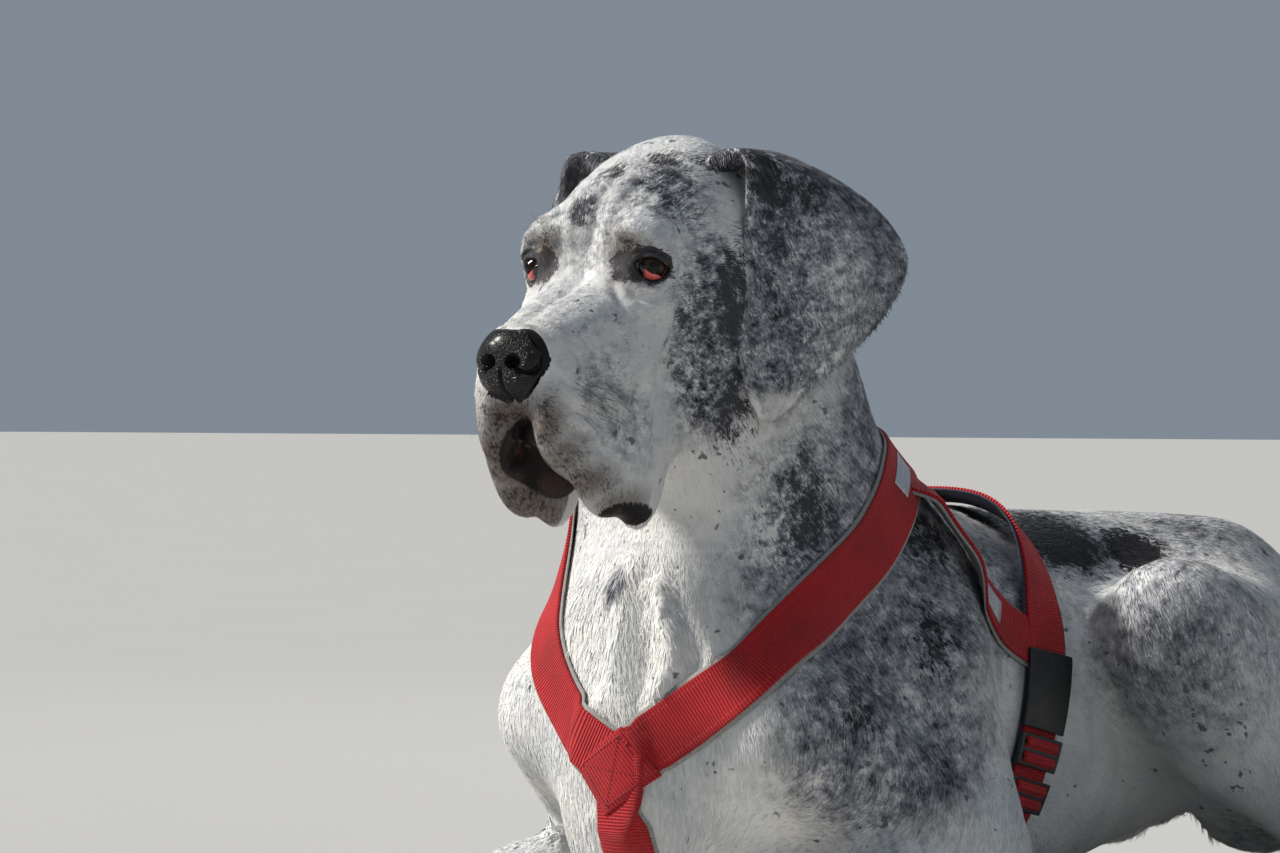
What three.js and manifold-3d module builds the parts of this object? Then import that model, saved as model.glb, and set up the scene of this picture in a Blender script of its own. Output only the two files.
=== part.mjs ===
// A great dane lying on its breastbone with its head up, life size, in a red webbing harness.
// Millimetres, +Z up. The dog faces -Y, its left side is +X, and the origin is on the floor under its chest.

import * as THREE from 'three';
import Module from 'manifold-3d';

const wasm = await Module();
wasm.setup();

// Driving dimensions

const GAP = 0.3; // between two nodes that touch
const HIP_SHIFT = 60; // how far the hips lie to the dog's left of the chest
const SWAY_FROM = 160;
const SWAY_TO = 560;
const HEAD_AT = new THREE.Vector3(18, -256, 564); // midway between the eyes
const HEAD_TURN = THREE.MathUtils.degToRad(7); // the head looks a little to the dog's left
const EYE_RADIUS = 12.5;
const EYE_AT = new THREE.Vector3(50, -3, 0); // side, forward, up from HEAD_AT
const WEBBING_WIDE = 46;
const WEBBING_THICK = 3;
const SIDE_WIDE = 40;
const LINING_CLEAR = 1.6; // from the coat to the inner face of the webbing
const STRAP_CLEAR = 0.6; // from the floor to the webbing under the breast
const COAT_OVER = 12; // height of coat that a strap keeps clear above it
const BODY_CELL = 20;
const HEAD_CELL = 7.5;
const PAW_CELL = 8;
const BODY_COUNT = 2500; // triangles
const HEAD_COUNT = 2400;
const PAW_COUNT = 380;

const COAT = { color: 0xd9d8d6, roughness: 0.85, metalness: 0 };
const EAR_COAT = { color: 0x77767a, roughness: 0.9, metalness: 0 };
const LEATHER = { color: 0x1c1b1d, roughness: 0.35, metalness: 0 };
const EYE = { color: 0x2a1a12, roughness: 0.08, metalness: 0 };
const WEBBING = { color: 0xb8141b, roughness: 0.8, metalness: 0 };
const PADDING = { color: 0x17181c, roughness: 0.85, metalness: 0 };
const BUCKLE = { color: 0x141414, roughness: 0.45, metalness: 0 };
const RING = { color: 0xb9bcc0, roughness: 0.3, metalness: 1 };

// Signed distances of the simple forms that the body is blended from

const clamp = (value, low, high) => Math.min(Math.max(value, low), high);

function ball([cx, cy, cz], [rx, ry, rz], tilt = 0) {
  const cos = Math.cos(THREE.MathUtils.degToRad(tilt));
  const sin = Math.sin(THREE.MathUtils.degToRad(tilt));
  return (x, y, z) => {
    const dx = x - cx;
    const dy = (y - cy) * cos + (z - cz) * sin;
    const dz = (z - cz) * cos - (y - cy) * sin;
    const near = Math.hypot(dx / rx, dy / ry, dz / rz);
    const slope = Math.hypot(dx / (rx * rx), dy / (ry * ry), dz / (rz * rz));
    return slope > 1e-9 ? (near * (near - 1)) / slope : -Math.min(rx, ry, rz);
  };
}

function limb([ax, ay, az], [bx, by, bz], ra, rb) {
  const [lx, ly, lz] = [bx - ax, by - ay, bz - az];
  const long = lx * lx + ly * ly + lz * lz;
  return (x, y, z) => {
    const [dx, dy, dz] = [x - ax, y - ay, z - az];
    const along = clamp((dx * lx + dy * ly + dz * lz) / long, 0, 1);
    return Math.hypot(dx - lx * along, dy - ly * along, dz - lz * along) - ra - (rb - ra) * along;
  };
}

function blend(a, b, soft) {
  const near = Math.max(soft - Math.abs(a - b), 0) / soft;
  return Math.min(a, b) - near * near * soft * 0.25;
}

// Forms are blended in their order, each with the softness that it is listed with.
function blended(forms, x, y, z) {
  let d = Infinity;
  for (const [form, soft] of forms) {
    const next = form(x, y, z);
    d = next - d > soft ? d : blend(d, next, soft);
  }
  return d;
}

// The trunk: at each station along Y its top, the height where it is widest, its underside, half its width

const TRUNK = [
  { y: -212, top: 215, wide: 165, bottom: 115, half: 30 },
  { y: -180, top: 275, wide: 165, bottom: 50, half: 78 },
  { y: -120, top: 335, wide: 185, bottom: 12, half: 108 },
  { y: -40, top: 385, wide: 200, bottom: -5, half: 122 },
  { y: 40, top: 398, wide: 210, bottom: -6, half: 130 },
  { y: 120, top: 392, wide: 212, bottom: -3, half: 134 },
  { y: 200, top: 376, wide: 212, bottom: 8, half: 136 },
  { y: 290, top: 368, wide: 215, bottom: 28, half: 130 },
  { y: 380, top: 364, wide: 215, bottom: 60, half: 112 },
  { y: 460, top: 362, wide: 225, bottom: 80, half: 104 },
  { y: 540, top: 352, wide: 230, bottom: 90, half: 92 },
  { y: 600, top: 318, wide: 230, bottom: 120, half: 62 },
  { y: 632, top: 270, wide: 225, bottom: 180, half: 22 },
];

// The spine bends a little to the dog's left, towards the hips.
const sway = (y) => HIP_SHIFT * THREE.MathUtils.smoothstep(y, SWAY_FROM, SWAY_TO);

function trunkAt(y) {
  const last = TRUNK.length - 1;
  let i = 0;
  while (i < last - 1 && TRUNK[i + 1].y < y) i++;
  const [p, a, b, n] = [i - 1, i, i + 1, i + 2].map((k) => TRUNK[clamp(k, 0, last)]);
  const t = clamp((y - a.y) / (b.y - a.y), 0, 1);
  const at = {};
  for (const key of ['top', 'wide', 'bottom', 'half']) {
    const from = ((b[key] - p[key]) / (b.y - p.y)) * (b.y - a.y);
    const to = ((n[key] - a[key]) / (n.y - a.y)) * (b.y - a.y);
    const t2 = t * t;
    const t3 = t2 * t;
    at[key] =
      a[key] * (2 * t3 - 3 * t2 + 1) + from * (t3 - 2 * t2 + t) + b[key] * (3 * t2 - 2 * t3) + to * (t3 - t2);
  }
  return at;
}

function trunk(x, y, z) {
  const inside = clamp(y, TRUNK[0].y, TRUNK.at(-1).y);
  const s = trunkAt(inside);
  const dx = x - sway(inside);
  const dz = z - s.wide;
  const high = dz > 0 ? s.top - s.wide : s.wide - s.bottom;
  const near = Math.max(Math.hypot(dx / s.half, dz / high), 1e-6);
  const out = Math.hypot(dx, dz) * (1 - 1 / near);
  const past = Math.abs(y - inside);
  return past > 0 ? Math.hypot(Math.max(out, 0), past) : out;
}

// Neck, forelegs and hind legs: each leg is listed once, for the dog's left side

const NECK = [
  [limb([0, 30, 305], [3, -74, 470], 128, 98), 60],
  [limb([3, -74, 470], [10, -150, 560], 98, 76), 60],
  [limb([4, -120, 440], [10, -190, 450], 60, 30), 60],
  [ball([0, -150, 250], [62, 52, 90], 10), 60],
  [limb([-36, -82, 380], [-48, -94, 270], 68, 78), 50],
  [limb([40, -72, 372], [46, -84, 270], 66, 76), 50],
];

const FORELEG = [
  [ball([88, 5, 262], [44, 105, 118], -20), 40],
  [limb([106, -118, 205], [150, 30, 92], 64, 56), 40],
  [limb([112, 42, 232], [150, 78, 100], 70, 44), 45],
  [limb([158, 62, 46], [176, -90, 44], 50, 46), 40],
  [limb([176, -90, 44], [180, -222, 31], 46, 33), 30],
];

const HINDLEG = [
  [ball([62, 500, 245], [62, 105, 108], 0), 50],
  [limb([72, 505, 215], [180, 315, 270], 96, 54), 50],
  [limb([82, 545, 130], [172, 350, 215], 70, 50), 50],
  [limb([181, 308, 262], [178, 400, 170], 52, 47), 30],
  [limb([178, 400, 170], [162, 535, 66], 47, 27), 30],
  [limb([163, 545, 34], [192, 352, 27], 37, 29), 18],
];

// A paw points along -Y. Its toes are knuckled, the middle two longest.

const TOES = [
  { side: -33, forward: 34, high: 27 },
  { side: -12, forward: 52, high: 30 },
  { side: 12, forward: 52, high: 30 },
  { side: 33, forward: 34, high: 27 },
];

function pawForms([x, y], size) {
  const forms = [[ball([x, y + 8 * size, 36 * size], [38 * size, 48 * size, 36 * size], 12), 12]];
  for (const toe of TOES) {
    const at = (along, up) => [x + toe.side * size, y - (toe.forward + along) * size, up * size];
    forms.push([limb(at(-30, 36), at(-4, toe.high + 4), 15 * size, 15.5 * size), 7]);
    forms.push([limb(at(-4, toe.high + 2), at(9, 17), 15.5 * size, 14 * size), 5]);
  }
  return forms;
}

const FOREPAW_AT = [181, -262];
const HINDPAW_AT = [198, 322];
const FORE_SIZE = 1.04;
const HIND_SIZE = 0.94;
const FOREPAW = pawForms(FOREPAW_AT, FORE_SIZE);
const HINDPAW = pawForms(HINDPAW_AT, HIND_SIZE);

// The head, in its own frame: X to the dog's left, Y forward, Z up, from midway between the eyes.
// Paired forms are listed once, for the left side.

const HEAD = [
  [ball([0, -92, 30], [61, 88, 60], -18), 20],
  [ball([0, -36, 18], [50, 46, 48], -18), 30],
  [ball([40, -10, 22], [24, 25, 22], 0), 20],
  [ball([0, -146, 72], [26, 24, 24], 0), 40],
  [ball([49, -52, -28], [25, 58, 32], 0), 30],
  [ball([44, -88, -52], [30, 50, 58], -10), 30],
  [limb([17, 0, -42], [7, 108, -73], 37, 26), 30],
  [limb([26, 10, -78], [15, 96, -96], 32, 24), 25],
  [ball([25, 86, -116], [18, 40, 46], 0), 14],
  [ball([36, 42, -138], [18, 52, 58], 0), 16],
  [ball([37, -2, -150], [16, 38, 54], 0), 16],
  [limb([0, -30, -112], [0, -110, -75], 40, 62), 40],
  [limb([0, -120, 30], [0, -160, -50], 58, 70), 50],
  [ball([EYE_AT.x, EYE_AT.y, EYE_AT.z], [21, 19, 17], 0), 8],
  [ball([0, 119, -73], [31, 22, 28], 0), 5],
];

const JAW = [
  [limb([0, 84, -127], [0, 20, -132], 15, 20), 12],
  [limb([0, 20, -132], [0, -60, -122], 20, 32), 12],
];

const UPPER_MOUTH = [
  [ball([0, 78, -150], [22, 44, 34], 0), 6],
  [ball([0, 20, -160], [24, 60, 34], 0), 12],
];

function headFrame(x, y, z) {
  const dx = x - HEAD_AT.x;
  const dy = y - HEAD_AT.y;
  const cos = Math.cos(HEAD_TURN);
  const sin = Math.sin(HEAD_TURN);
  return [dx * cos + dy * sin, dx * sin - dy * cos, z - HEAD_AT.z];
}

function fromHead([side, forward, up]) {
  const cos = Math.cos(HEAD_TURN);
  const sin = Math.sin(HEAD_TURN);
  return [HEAD_AT.x + side * cos + forward * sin, HEAD_AT.y + side * sin - forward * cos, HEAD_AT.z + up];
}

function headForm(side, forward, up) {
  const mirrored = Math.abs(side);
  const skull = blended(HEAD, mirrored, forward, up);
  const mouth = blended(UPPER_MOUTH, side, forward, up);
  const hollow = -blend(-skull, mouth, 6);
  return Math.min(Math.max(skull, hollow), blended(JAW, side, forward, up));
}

function flesh(x, y, z) {
  const fore = Math.abs(x);
  const hind = Math.abs(x - sway(y));
  let d = trunk(x, y, z);
  d = blend(d, blended(NECK, x, y, z), 70);
  d = blend(d, blended(FORELEG, fore, y, z), 36);
  d = blend(d, blended(FOREPAW, fore, y, z), 14);
  d = blend(d, blended(HINDLEG, hind, y, z), 40);
  d = blend(d, blended(HINDPAW, hind, y, z), 14);
  d = blend(d, tailRoot(x, y, z), 30);
  return blend(d, headForm(...headFrame(x, y, z)), 40);
}

// Surface of a distance field, one vertex in each cell of a grid that the surface crosses

function slopeAt(field, x, y, z) {
  const h = 0.5;
  return new THREE.Vector3(
    field(x + h, y, z) - field(x - h, y, z),
    field(x, y + h, z) - field(x, y - h, z),
    field(x, y, z + h) - field(x, y, z - h),
  ).divideScalar(2 * h);
}

// A cell face whose corners are in and out by turns could be joined two ways: its weakest corner changes sides.
function settle(values, strides, index, n, cell) {
  for (let changed = true; changed; ) {
    changed = false;
    for (let k = 0; k < n[2] - 1; k++)
      for (let j = 0; j < n[1] - 1; j++)
        for (let i = 0; i < n[0] - 1; i++)
          for (const [u, v] of strides) {
            const face = [0, u, u + v, v].map((offset) => index(i, j, k) + offset);
            const [a, b, c, d] = face.map((at) => values[at] < 0);
            if (a !== c || b !== d || a === b) continue;
            const weakest = face.reduce((best, at) => (Math.abs(values[at]) < Math.abs(values[best]) ? at : best));
            values[weakest] = values[weakest] < 0 ? cell / 20 : -cell / 20;
            changed = true;
          }
  }
}

function surface(field, low, high, cell) {
  const n = [0, 1, 2].map((k) => Math.ceil((high[k] - low[k]) / cell) + 1);
  const place = (k, i) => low[k] + i * cell;
  const index = (i, j, k) => i + n[0] * (j + n[1] * k);
  const values = new Float64Array(n[0] * n[1] * n[2]);
  for (let k = 0; k < n[2]; k++)
    for (let j = 0; j < n[1]; j++)
      for (let i = 0; i < n[0]; i++) {
        const rim = i === 0 || j === 0 || k === 0 || i === n[0] - 1 || j === n[1] - 1 || k === n[2] - 1;
        const value = field(place(0, i), place(1, j), place(2, k));
        values[index(i, j, k)] = rim ? Math.max(value, 3 * cell) : value;
      }
  const [along, over, up] = [1, n[0], n[0] * n[1]];
  settle(values, [[along, over], [over, up], [along, up]], index, n, cell);
  const corners = [0, 1, 2, 3, 4, 5, 6, 7].map((c) => [c & 1, (c >> 1) & 1, c >> 2]);
  const edges = [];
  for (let a = 0; a < 8; a++) for (const bit of [1, 2, 4]) if (!(a & bit)) edges.push([a, a | bit]);
  const vertexOf = new Int32Array(values.length).fill(-1);
  const points = [];
  for (let k = 0; k < n[2] - 1; k++)
    for (let j = 0; j < n[1] - 1; j++)
      for (let i = 0; i < n[0] - 1; i++) {
        const at = corners.map(([a, b, c]) => values[index(i + a, j + b, k + c)]);
        const middle = new THREE.Vector3();
        let crossings = 0;
        for (const [a, b] of edges) {
          if (at[a] < 0 === at[b] < 0) continue;
          const t = at[a] / (at[a] - at[b]);
          middle.add(
            new THREE.Vector3(
              corners[a][0] + t * (corners[b][0] - corners[a][0]),
              corners[a][1] + t * (corners[b][1] - corners[a][1]),
              corners[a][2] + t * (corners[b][2] - corners[a][2]),
            ),
          );
          crossings++;
        }
        if (!crossings) continue;
        middle.divideScalar(crossings);
        const start = new THREE.Vector3(place(0, i), place(1, j), place(2, k)).addScaledVector(middle, cell);
        const moved = start.clone();
        for (let step = 0; step < 3; step++) {
          const slope = slopeAt(field, moved.x, moved.y, moved.z);
          const away = field(moved.x, moved.y, moved.z) / Math.max(slope.lengthSq(), 0.2);
          moved.addScaledVector(slope, -clamp(away, -cell / 3, cell / 3));
        }
        const drift = moved.clone().sub(start);
        if (drift.length() > cell * 0.45) moved.copy(start).addScaledVector(drift, (cell * 0.45) / drift.length());
        vertexOf[index(i, j, k)] = points.length;
        points.push(moved);
      }
  const faces = [];
  const step = [
    [1, 0, 0],
    [0, 1, 0],
    [0, 0, 1],
  ];
  for (let k = 0; k < n[2] - 1; k++)
    for (let j = 0; j < n[1] - 1; j++)
      for (let i = 0; i < n[0] - 1; i++)
        for (let axis = 0; axis < 3; axis++) {
          if ([i, j, k].some((at, other) => other !== axis && at === 0)) continue;
          const here = values[index(i, j, k)] < 0;
          const [sx, sy, sz] = step[axis];
          const there = values[index(i + sx, j + sy, k + sz)] < 0;
          if (here === there) continue;
          const [u, v] = [step[(axis + 1) % 3], step[(axis + 2) % 3]];
          const cellAt = (a, b) =>
            vertexOf[index(i - u[0] * a - v[0] * b, j - u[1] * a - v[1] * b, k - u[2] * a - v[2] * b)];
          const quad = [cellAt(1, 1), cellAt(0, 1), cellAt(0, 0), cellAt(1, 0)];
          if (!here) quad.reverse();
          const [p, q, r, s] = quad;
          if (points[p].distanceTo(points[r]) < points[q].distanceTo(points[s])) faces.push(p, q, r, p, r, s);
          else faces.push(p, q, s, q, r, s);
        }
  return { points, faces };
}

// Fewer triangles: in each round the edges whose loss moves the surface least are drawn together.

function planeOf(points, [a, b, c]) {
  const normal = points[b].clone().sub(points[a]).cross(points[c].clone().sub(points[a]));
  const area = normal.length() / 2;
  normal.normalize();
  return { normal, area, at: -normal.dot(points[a]) };
}

function addPlane(q, { normal: { x, y, z }, area, at }) {
  const terms = [x * x, x * y, x * z, x * at, y * y, y * z, y * at, z * z, z * at, at * at];
  terms.forEach((term, i) => (q[i] += term * area));
}

function costAt(q, { x, y, z }) {
  const outer = q[0] * x * x + q[4] * y * y + q[7] * z * z + q[9];
  return outer + 2 * (q[1] * x * y + q[2] * x * z + q[3] * x + q[5] * y * z + q[6] * y + q[8] * z);
}

function thinned({ points, faces }, target) {
  const tris = [];
  for (let i = 0; i < faces.length; i += 3) tris.push(faces.slice(i, i + 3));
  const around = points.map(() => new Set());
  const quadrics = points.map(() => new Array(10).fill(0));
  tris.forEach((tri, t) => {
    const plane = planeOf(points, tri);
    for (const v of tri) {
      around[v].add(t);
      addPlane(quadrics[v], plane);
    }
  });
  const neighbours = (v) => new Set([...around[v]].flatMap((t) => tris[t].filter((other) => other !== v)));
  let left = tris.length;

  function collapse(a, b, to) {
    const shared = [...around[a]].filter((t) => around[b].has(t));
    const common = [...neighbours(a)].filter((v) => neighbours(b).has(v));
    if (shared.length !== 2 || common.length !== 2) return false;
    for (const [v, t] of [a, b].flatMap((end) => [...around[end]].map((tri) => [end, tri]))) {
      if (shared.includes(t)) continue;
      const before = planeOf(points, tris[t]);
      const kept = points[v];
      points[v] = to;
      const after = planeOf(points, tris[t]);
      points[v] = kept;
      if (after.area < 1e-3 || before.normal.dot(after.normal) < 0.35) return false;
    }
    points[a] = to;
    quadrics[b].forEach((value, i) => (quadrics[a][i] += value));
    for (const t of shared) {
      for (const v of tris[t]) around[v].delete(t);
      tris[t] = null;
    }
    for (const t of around[b]) {
      tris[t] = tris[t].map((v) => (v === b ? a : v));
      around[a].add(t);
    }
    around[b].clear();
    left -= 2;
    return true;
  }

  for (let round = 0; round < 60 && left > target; round++) {
    const edges = [];
    for (const tri of tris) {
      if (!tri) continue;
      for (let k = 0; k < 3; k++) {
        const [a, b] = [tri[k], tri[(k + 1) % 3]];
        if (a > b) continue;
        const q = quadrics[a].map((value, i) => value + quadrics[b][i]);
        const places = [points[a], points[b], points[a].clone().lerp(points[b], 0.5)];
        const costs = places.map((place) => costAt(q, place));
        const least = costs.indexOf(Math.min(...costs));
        const length = points[a].distanceToSquared(points[b]);
        edges.push({ a, b, to: places[least].clone(), cost: costs[least] + 1e-4 * length * length });
      }
    }
    edges.sort((one, other) => one.cost - other.cost);
    const touched = new Set();
    const most = Math.max(Math.min(edges.length / 6, (left - target) / 2 + 1), 1);
    let done = 0;
    for (const { a, b, to } of edges) {
      if (done >= most || left <= target) break;
      if (touched.has(a) || touched.has(b) || !around[a].size || !around[b].size) continue;
      if (!collapse(a, b, to)) continue;
      for (const v of neighbours(a)) touched.add(v);
      touched.add(a);
      touched.add(b);
      done++;
    }
    if (!done) break;
  }
  const renamed = new Map();
  const kept = [];
  const name = (v) => {
    if (!renamed.has(v)) renamed.set(v, kept.push(points[v]) - 1);
    return renamed.get(v);
  };
  return { faces: tris.filter(Boolean).flatMap((tri) => tri.map(name)), points: kept };
}

// Solids: a closed list of points and faces, joined and cut

function solid({ points, faces }) {
  const vertProperties = new Float32Array(points.flatMap((p) => [p.x, p.y, p.z]));
  return new wasm.Manifold(new wasm.Mesh({ numProp: 3, vertProperties, triVerts: new Uint32Array(faces) }));
}

const meshed = (field, low, high, cell, count) => thinned(surface(field, low, high, cell), count);

// A closed surface moved out along its own normals
function swollen({ points, faces }, by) {
  const normals = points.map(() => new THREE.Vector3());
  for (let i = 0; i < faces.length; i += 3) {
    const tri = faces.slice(i, i + 3);
    const { normal, area } = planeOf(points, tri);
    for (const v of tri) normals[v].addScaledVector(normal, area);
  }
  return { points: points.map((p, i) => p.clone().addScaledVector(normals[i].normalize(), by)), faces };
}

function solidOf(geometry, matrix = new THREE.Matrix4()) {
  const seen = new Map();
  const points = [];
  const source = geometry.getAttribute('position');
  const same = Array.from({ length: source.count }, (_, i) => {
    const p = new THREE.Vector3().fromBufferAttribute(source, i).applyMatrix4(matrix);
    const key = [p.x, p.y, p.z].map((v) => v.toFixed(3)).join();
    if (!seen.has(key)) seen.set(key, points.push(p) - 1);
    return seen.get(key);
  });
  const order = geometry.index ? Array.from(geometry.index.array) : same.map((_, i) => i);
  const faces = [];
  for (let i = 0; i < order.length; i += 3) {
    const [a, b, c] = [same[order[i]], same[order[i + 1]], same[order[i + 2]]];
    if (a !== b && b !== c && c !== a) faces.push(a, b, c);
  }
  return solid({ points, faces });
}

const REACH = 2400;

// All that lies beyond a plane, on the side that its normal points to
function beyond(point, normal, offset = 0) {
  const n = new THREE.Vector3(...normal).normalize();
  const at = new THREE.Vector3(...point).addScaledVector(n, offset + REACH / 2);
  const turn = new THREE.Quaternion().setFromUnitVectors(new THREE.Vector3(0, 0, 1), n);
  const matrix = new THREE.Matrix4().compose(at, turn, new THREE.Vector3(1, 1, 1));
  return solidOf(new THREE.BoxGeometry(REACH, REACH, REACH), matrix);
}

// The space beside the trunk that a hind leg fills: its inner face follows the flank
const FLANK = [
  [205, 132],
  [300, 126],
  [400, 98],
  [500, 72],
  [640, 62],
];

function legSpace(side, grow) {
  const [low, high, out] = [-50 - grow, 326 + grow, 420 + grow];
  const rows = FLANK.map(([y, inner], i) => {
    const end = i === 0 ? -grow : i === FLANK.length - 1 ? grow : 0;
    return { y: y + end, near: sway(y) + side * (inner - grow), far: sway(y) + side * out };
  });
  const points = rows.flatMap(({ y, near, far }) => [
    new THREE.Vector3(near, y, low),
    new THREE.Vector3(far, y, low),
    new THREE.Vector3(far, y, high),
    new THREE.Vector3(near, y, high),
  ]);
  const faces = [0, 1, 2, 0, 2, 3];
  const last = (rows.length - 1) * 4;
  faces.push(last, last + 2, last + 1, last, last + 3, last + 2);
  for (let i = 0; i < last; i += 4)
    for (let k = 0; k < 4; k++) {
      const [a, b] = [i + k, i + ((k + 1) % 4)];
      faces.push(a, a + 4, b, b, a + 4, b + 4);
    }
  return solid({ points, faces: side > 0 ? faces : faces.toReversed() });
}

function block([x0, y0, z0], [x1, y1, z1], grow = 0) {
  const size = [x1 - x0, y1 - y0, z1 - z0].map((v) => v + 2 * grow);
  const middle = new THREE.Matrix4().makeTranslation((x0 + x1) / 2, (y0 + y1) / 2, (z0 + z1) / 2);
  return solidOf(new THREE.BoxGeometry(...size), middle);
}

const HEAD_MATRIX = new THREE.Matrix4()
  .makeTranslation(HEAD_AT.x, HEAD_AT.y, HEAD_AT.z)
  .multiply(new THREE.Matrix4().makeRotationZ(HEAD_TURN + Math.PI));

// In the head's frame X runs to the dog's left and Y forward, so a form placed there turns half round.
function inHead([side, forward, up], scale = [1, 1, 1], turn = 0) {
  return HEAD_MATRIX.clone()
    .multiply(new THREE.Matrix4().makeTranslation(-side, forward, up))
    .multiply(new THREE.Matrix4().makeRotationZ(turn))
    .multiply(new THREE.Matrix4().makeScale(...scale));
}

function egg(at, radii, turn = 0, sides = 14) {
  return solidOf(new THREE.SphereGeometry(1, sides, sides - 4), inHead(at, radii, turn));
}

function largest(body) {
  const bodies = body.decompose();
  return bodies.reduce((best, next) => (next.volume() > best.volume() ? next : best));
}

// The two parts of a body on either side of a plane, a thin gap between them
function parted(body, point, normal) {
  const away = normal.map((v) => -v);
  return [
    largest(body.intersect(beyond(point, normal, GAP / 2))),
    largest(body.intersect(beyond(point, away, GAP / 2))),
  ];
}

// What lies in a region and what lies outside it, a thin gap between them
function carved(body, region, grown) {
  return [largest(body.intersect(region)), largest(body.subtract(grown))];
}

// Tail: a tapering tube along a curve that comes down behind the rump and lies along the floor

const TAIL_LINE = new THREE.CatmullRomCurve3(
  [
    [72, 612, 262],
    [78, 652, 196],
    [88, 690, 112],
    [106, 736, 42],
    [146, 800, 14],
    [214, 858, 10.5],
    [292, 884, 8.5],
    [362, 880, 6.5],
  ].map((p) => new THREE.Vector3(...p)),
);
const TAIL_THICK = 27;
const TAIL_THIN = 8;
const TAIL_SIDES = 10;
const TAIL_CUTS = [0.06, 0.36, 0.68, 1];

const tailRadius = (t) => THREE.MathUtils.lerp(TAIL_THICK, TAIL_THIN, Math.pow(t, 0.8));

function tailRoot(x, y, z) {
  const a = TAIL_LINE.getPointAt(0);
  const b = TAIL_LINE.getPointAt(0.12);
  return limb(a.toArray(), b.toArray(), TAIL_THICK + 4, tailRadius(0.12))(x, y, z);
}

// A tube with flat ends, its underside no lower than the floor
function tube(curve, from, to, steps, sides, radius, tip = false) {
  const points = [];
  const faces = [];
  for (let i = 0; i <= steps; i++) {
    const t = THREE.MathUtils.lerp(from, to, i / steps);
    const middle = curve.getPointAt(t);
    const ahead = curve.getTangentAt(t);
    const across = new THREE.Vector3(0, 0, 1).cross(ahead).normalize();
    const over = ahead.clone().cross(across);
    const r = radius(t) * (tip && i === steps ? 0.35 : 1);
    for (let s = 0; s < sides; s++) {
      const angle = ((s + 0.5) / sides) * 2 * Math.PI;
      const p = middle.clone().addScaledVector(across, Math.cos(angle) * r).addScaledVector(over, Math.sin(angle) * r);
      p.z = Math.max(p.z, 0);
      points.push(p);
    }
  }
  for (let i = 0; i < steps; i++)
    for (let s = 0; s < sides; s++) {
      const [a, b] = [i * sides + s, i * sides + ((s + 1) % sides)];
      faces.push(a, b, a + sides, b, b + sides, a + sides);
    }
  const end = steps * sides;
  for (let s = 1; s < sides - 1; s++) faces.push(0, s + 1, s, end, end + s, end + s + 1);
  return { points, faces };
}

// Ear: a thin curved leaf that hangs from a fold at the side of the skull, hollow towards the neck.
// Rows from the root to the tip: front edge, rear edge, how far the middle stands out, how thick it is

const EAR_ROWS = [
  { front: [34, -84, 62], rear: [34, -146, 66], out: 0, thick: 16 },
  { front: [56, -94, 86], rear: [58, -160, 88], out: 5, thick: 14 },
  { front: [76, -98, 88], rear: [98, -184, 76], out: 10, thick: 9 },
  { front: [80, -96, 52], rear: [138, -214, 46], out: 15, thick: 6 },
  { front: [76, -90, 14], rear: [160, -222, 8], out: 18, thick: 5 },
  { front: [74, -84, -26], rear: [158, -208, -26], out: 17, thick: 5 },
  { front: [74, -80, -62], rear: [138, -176, -66], out: 13, thick: 5 },
  { front: [80, -82, -94], rear: [116, -138, -98], out: 8, thick: 5 },
  { front: [90, -94, -119], rear: [98, -108, -121], out: 2, thick: 4 },
];
const EAR_ACROSS = 6;
const EAR_DOWN = 12;
const EAR_OUTWARD = new THREE.Vector3(0.82, 0.57, 0);

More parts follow.
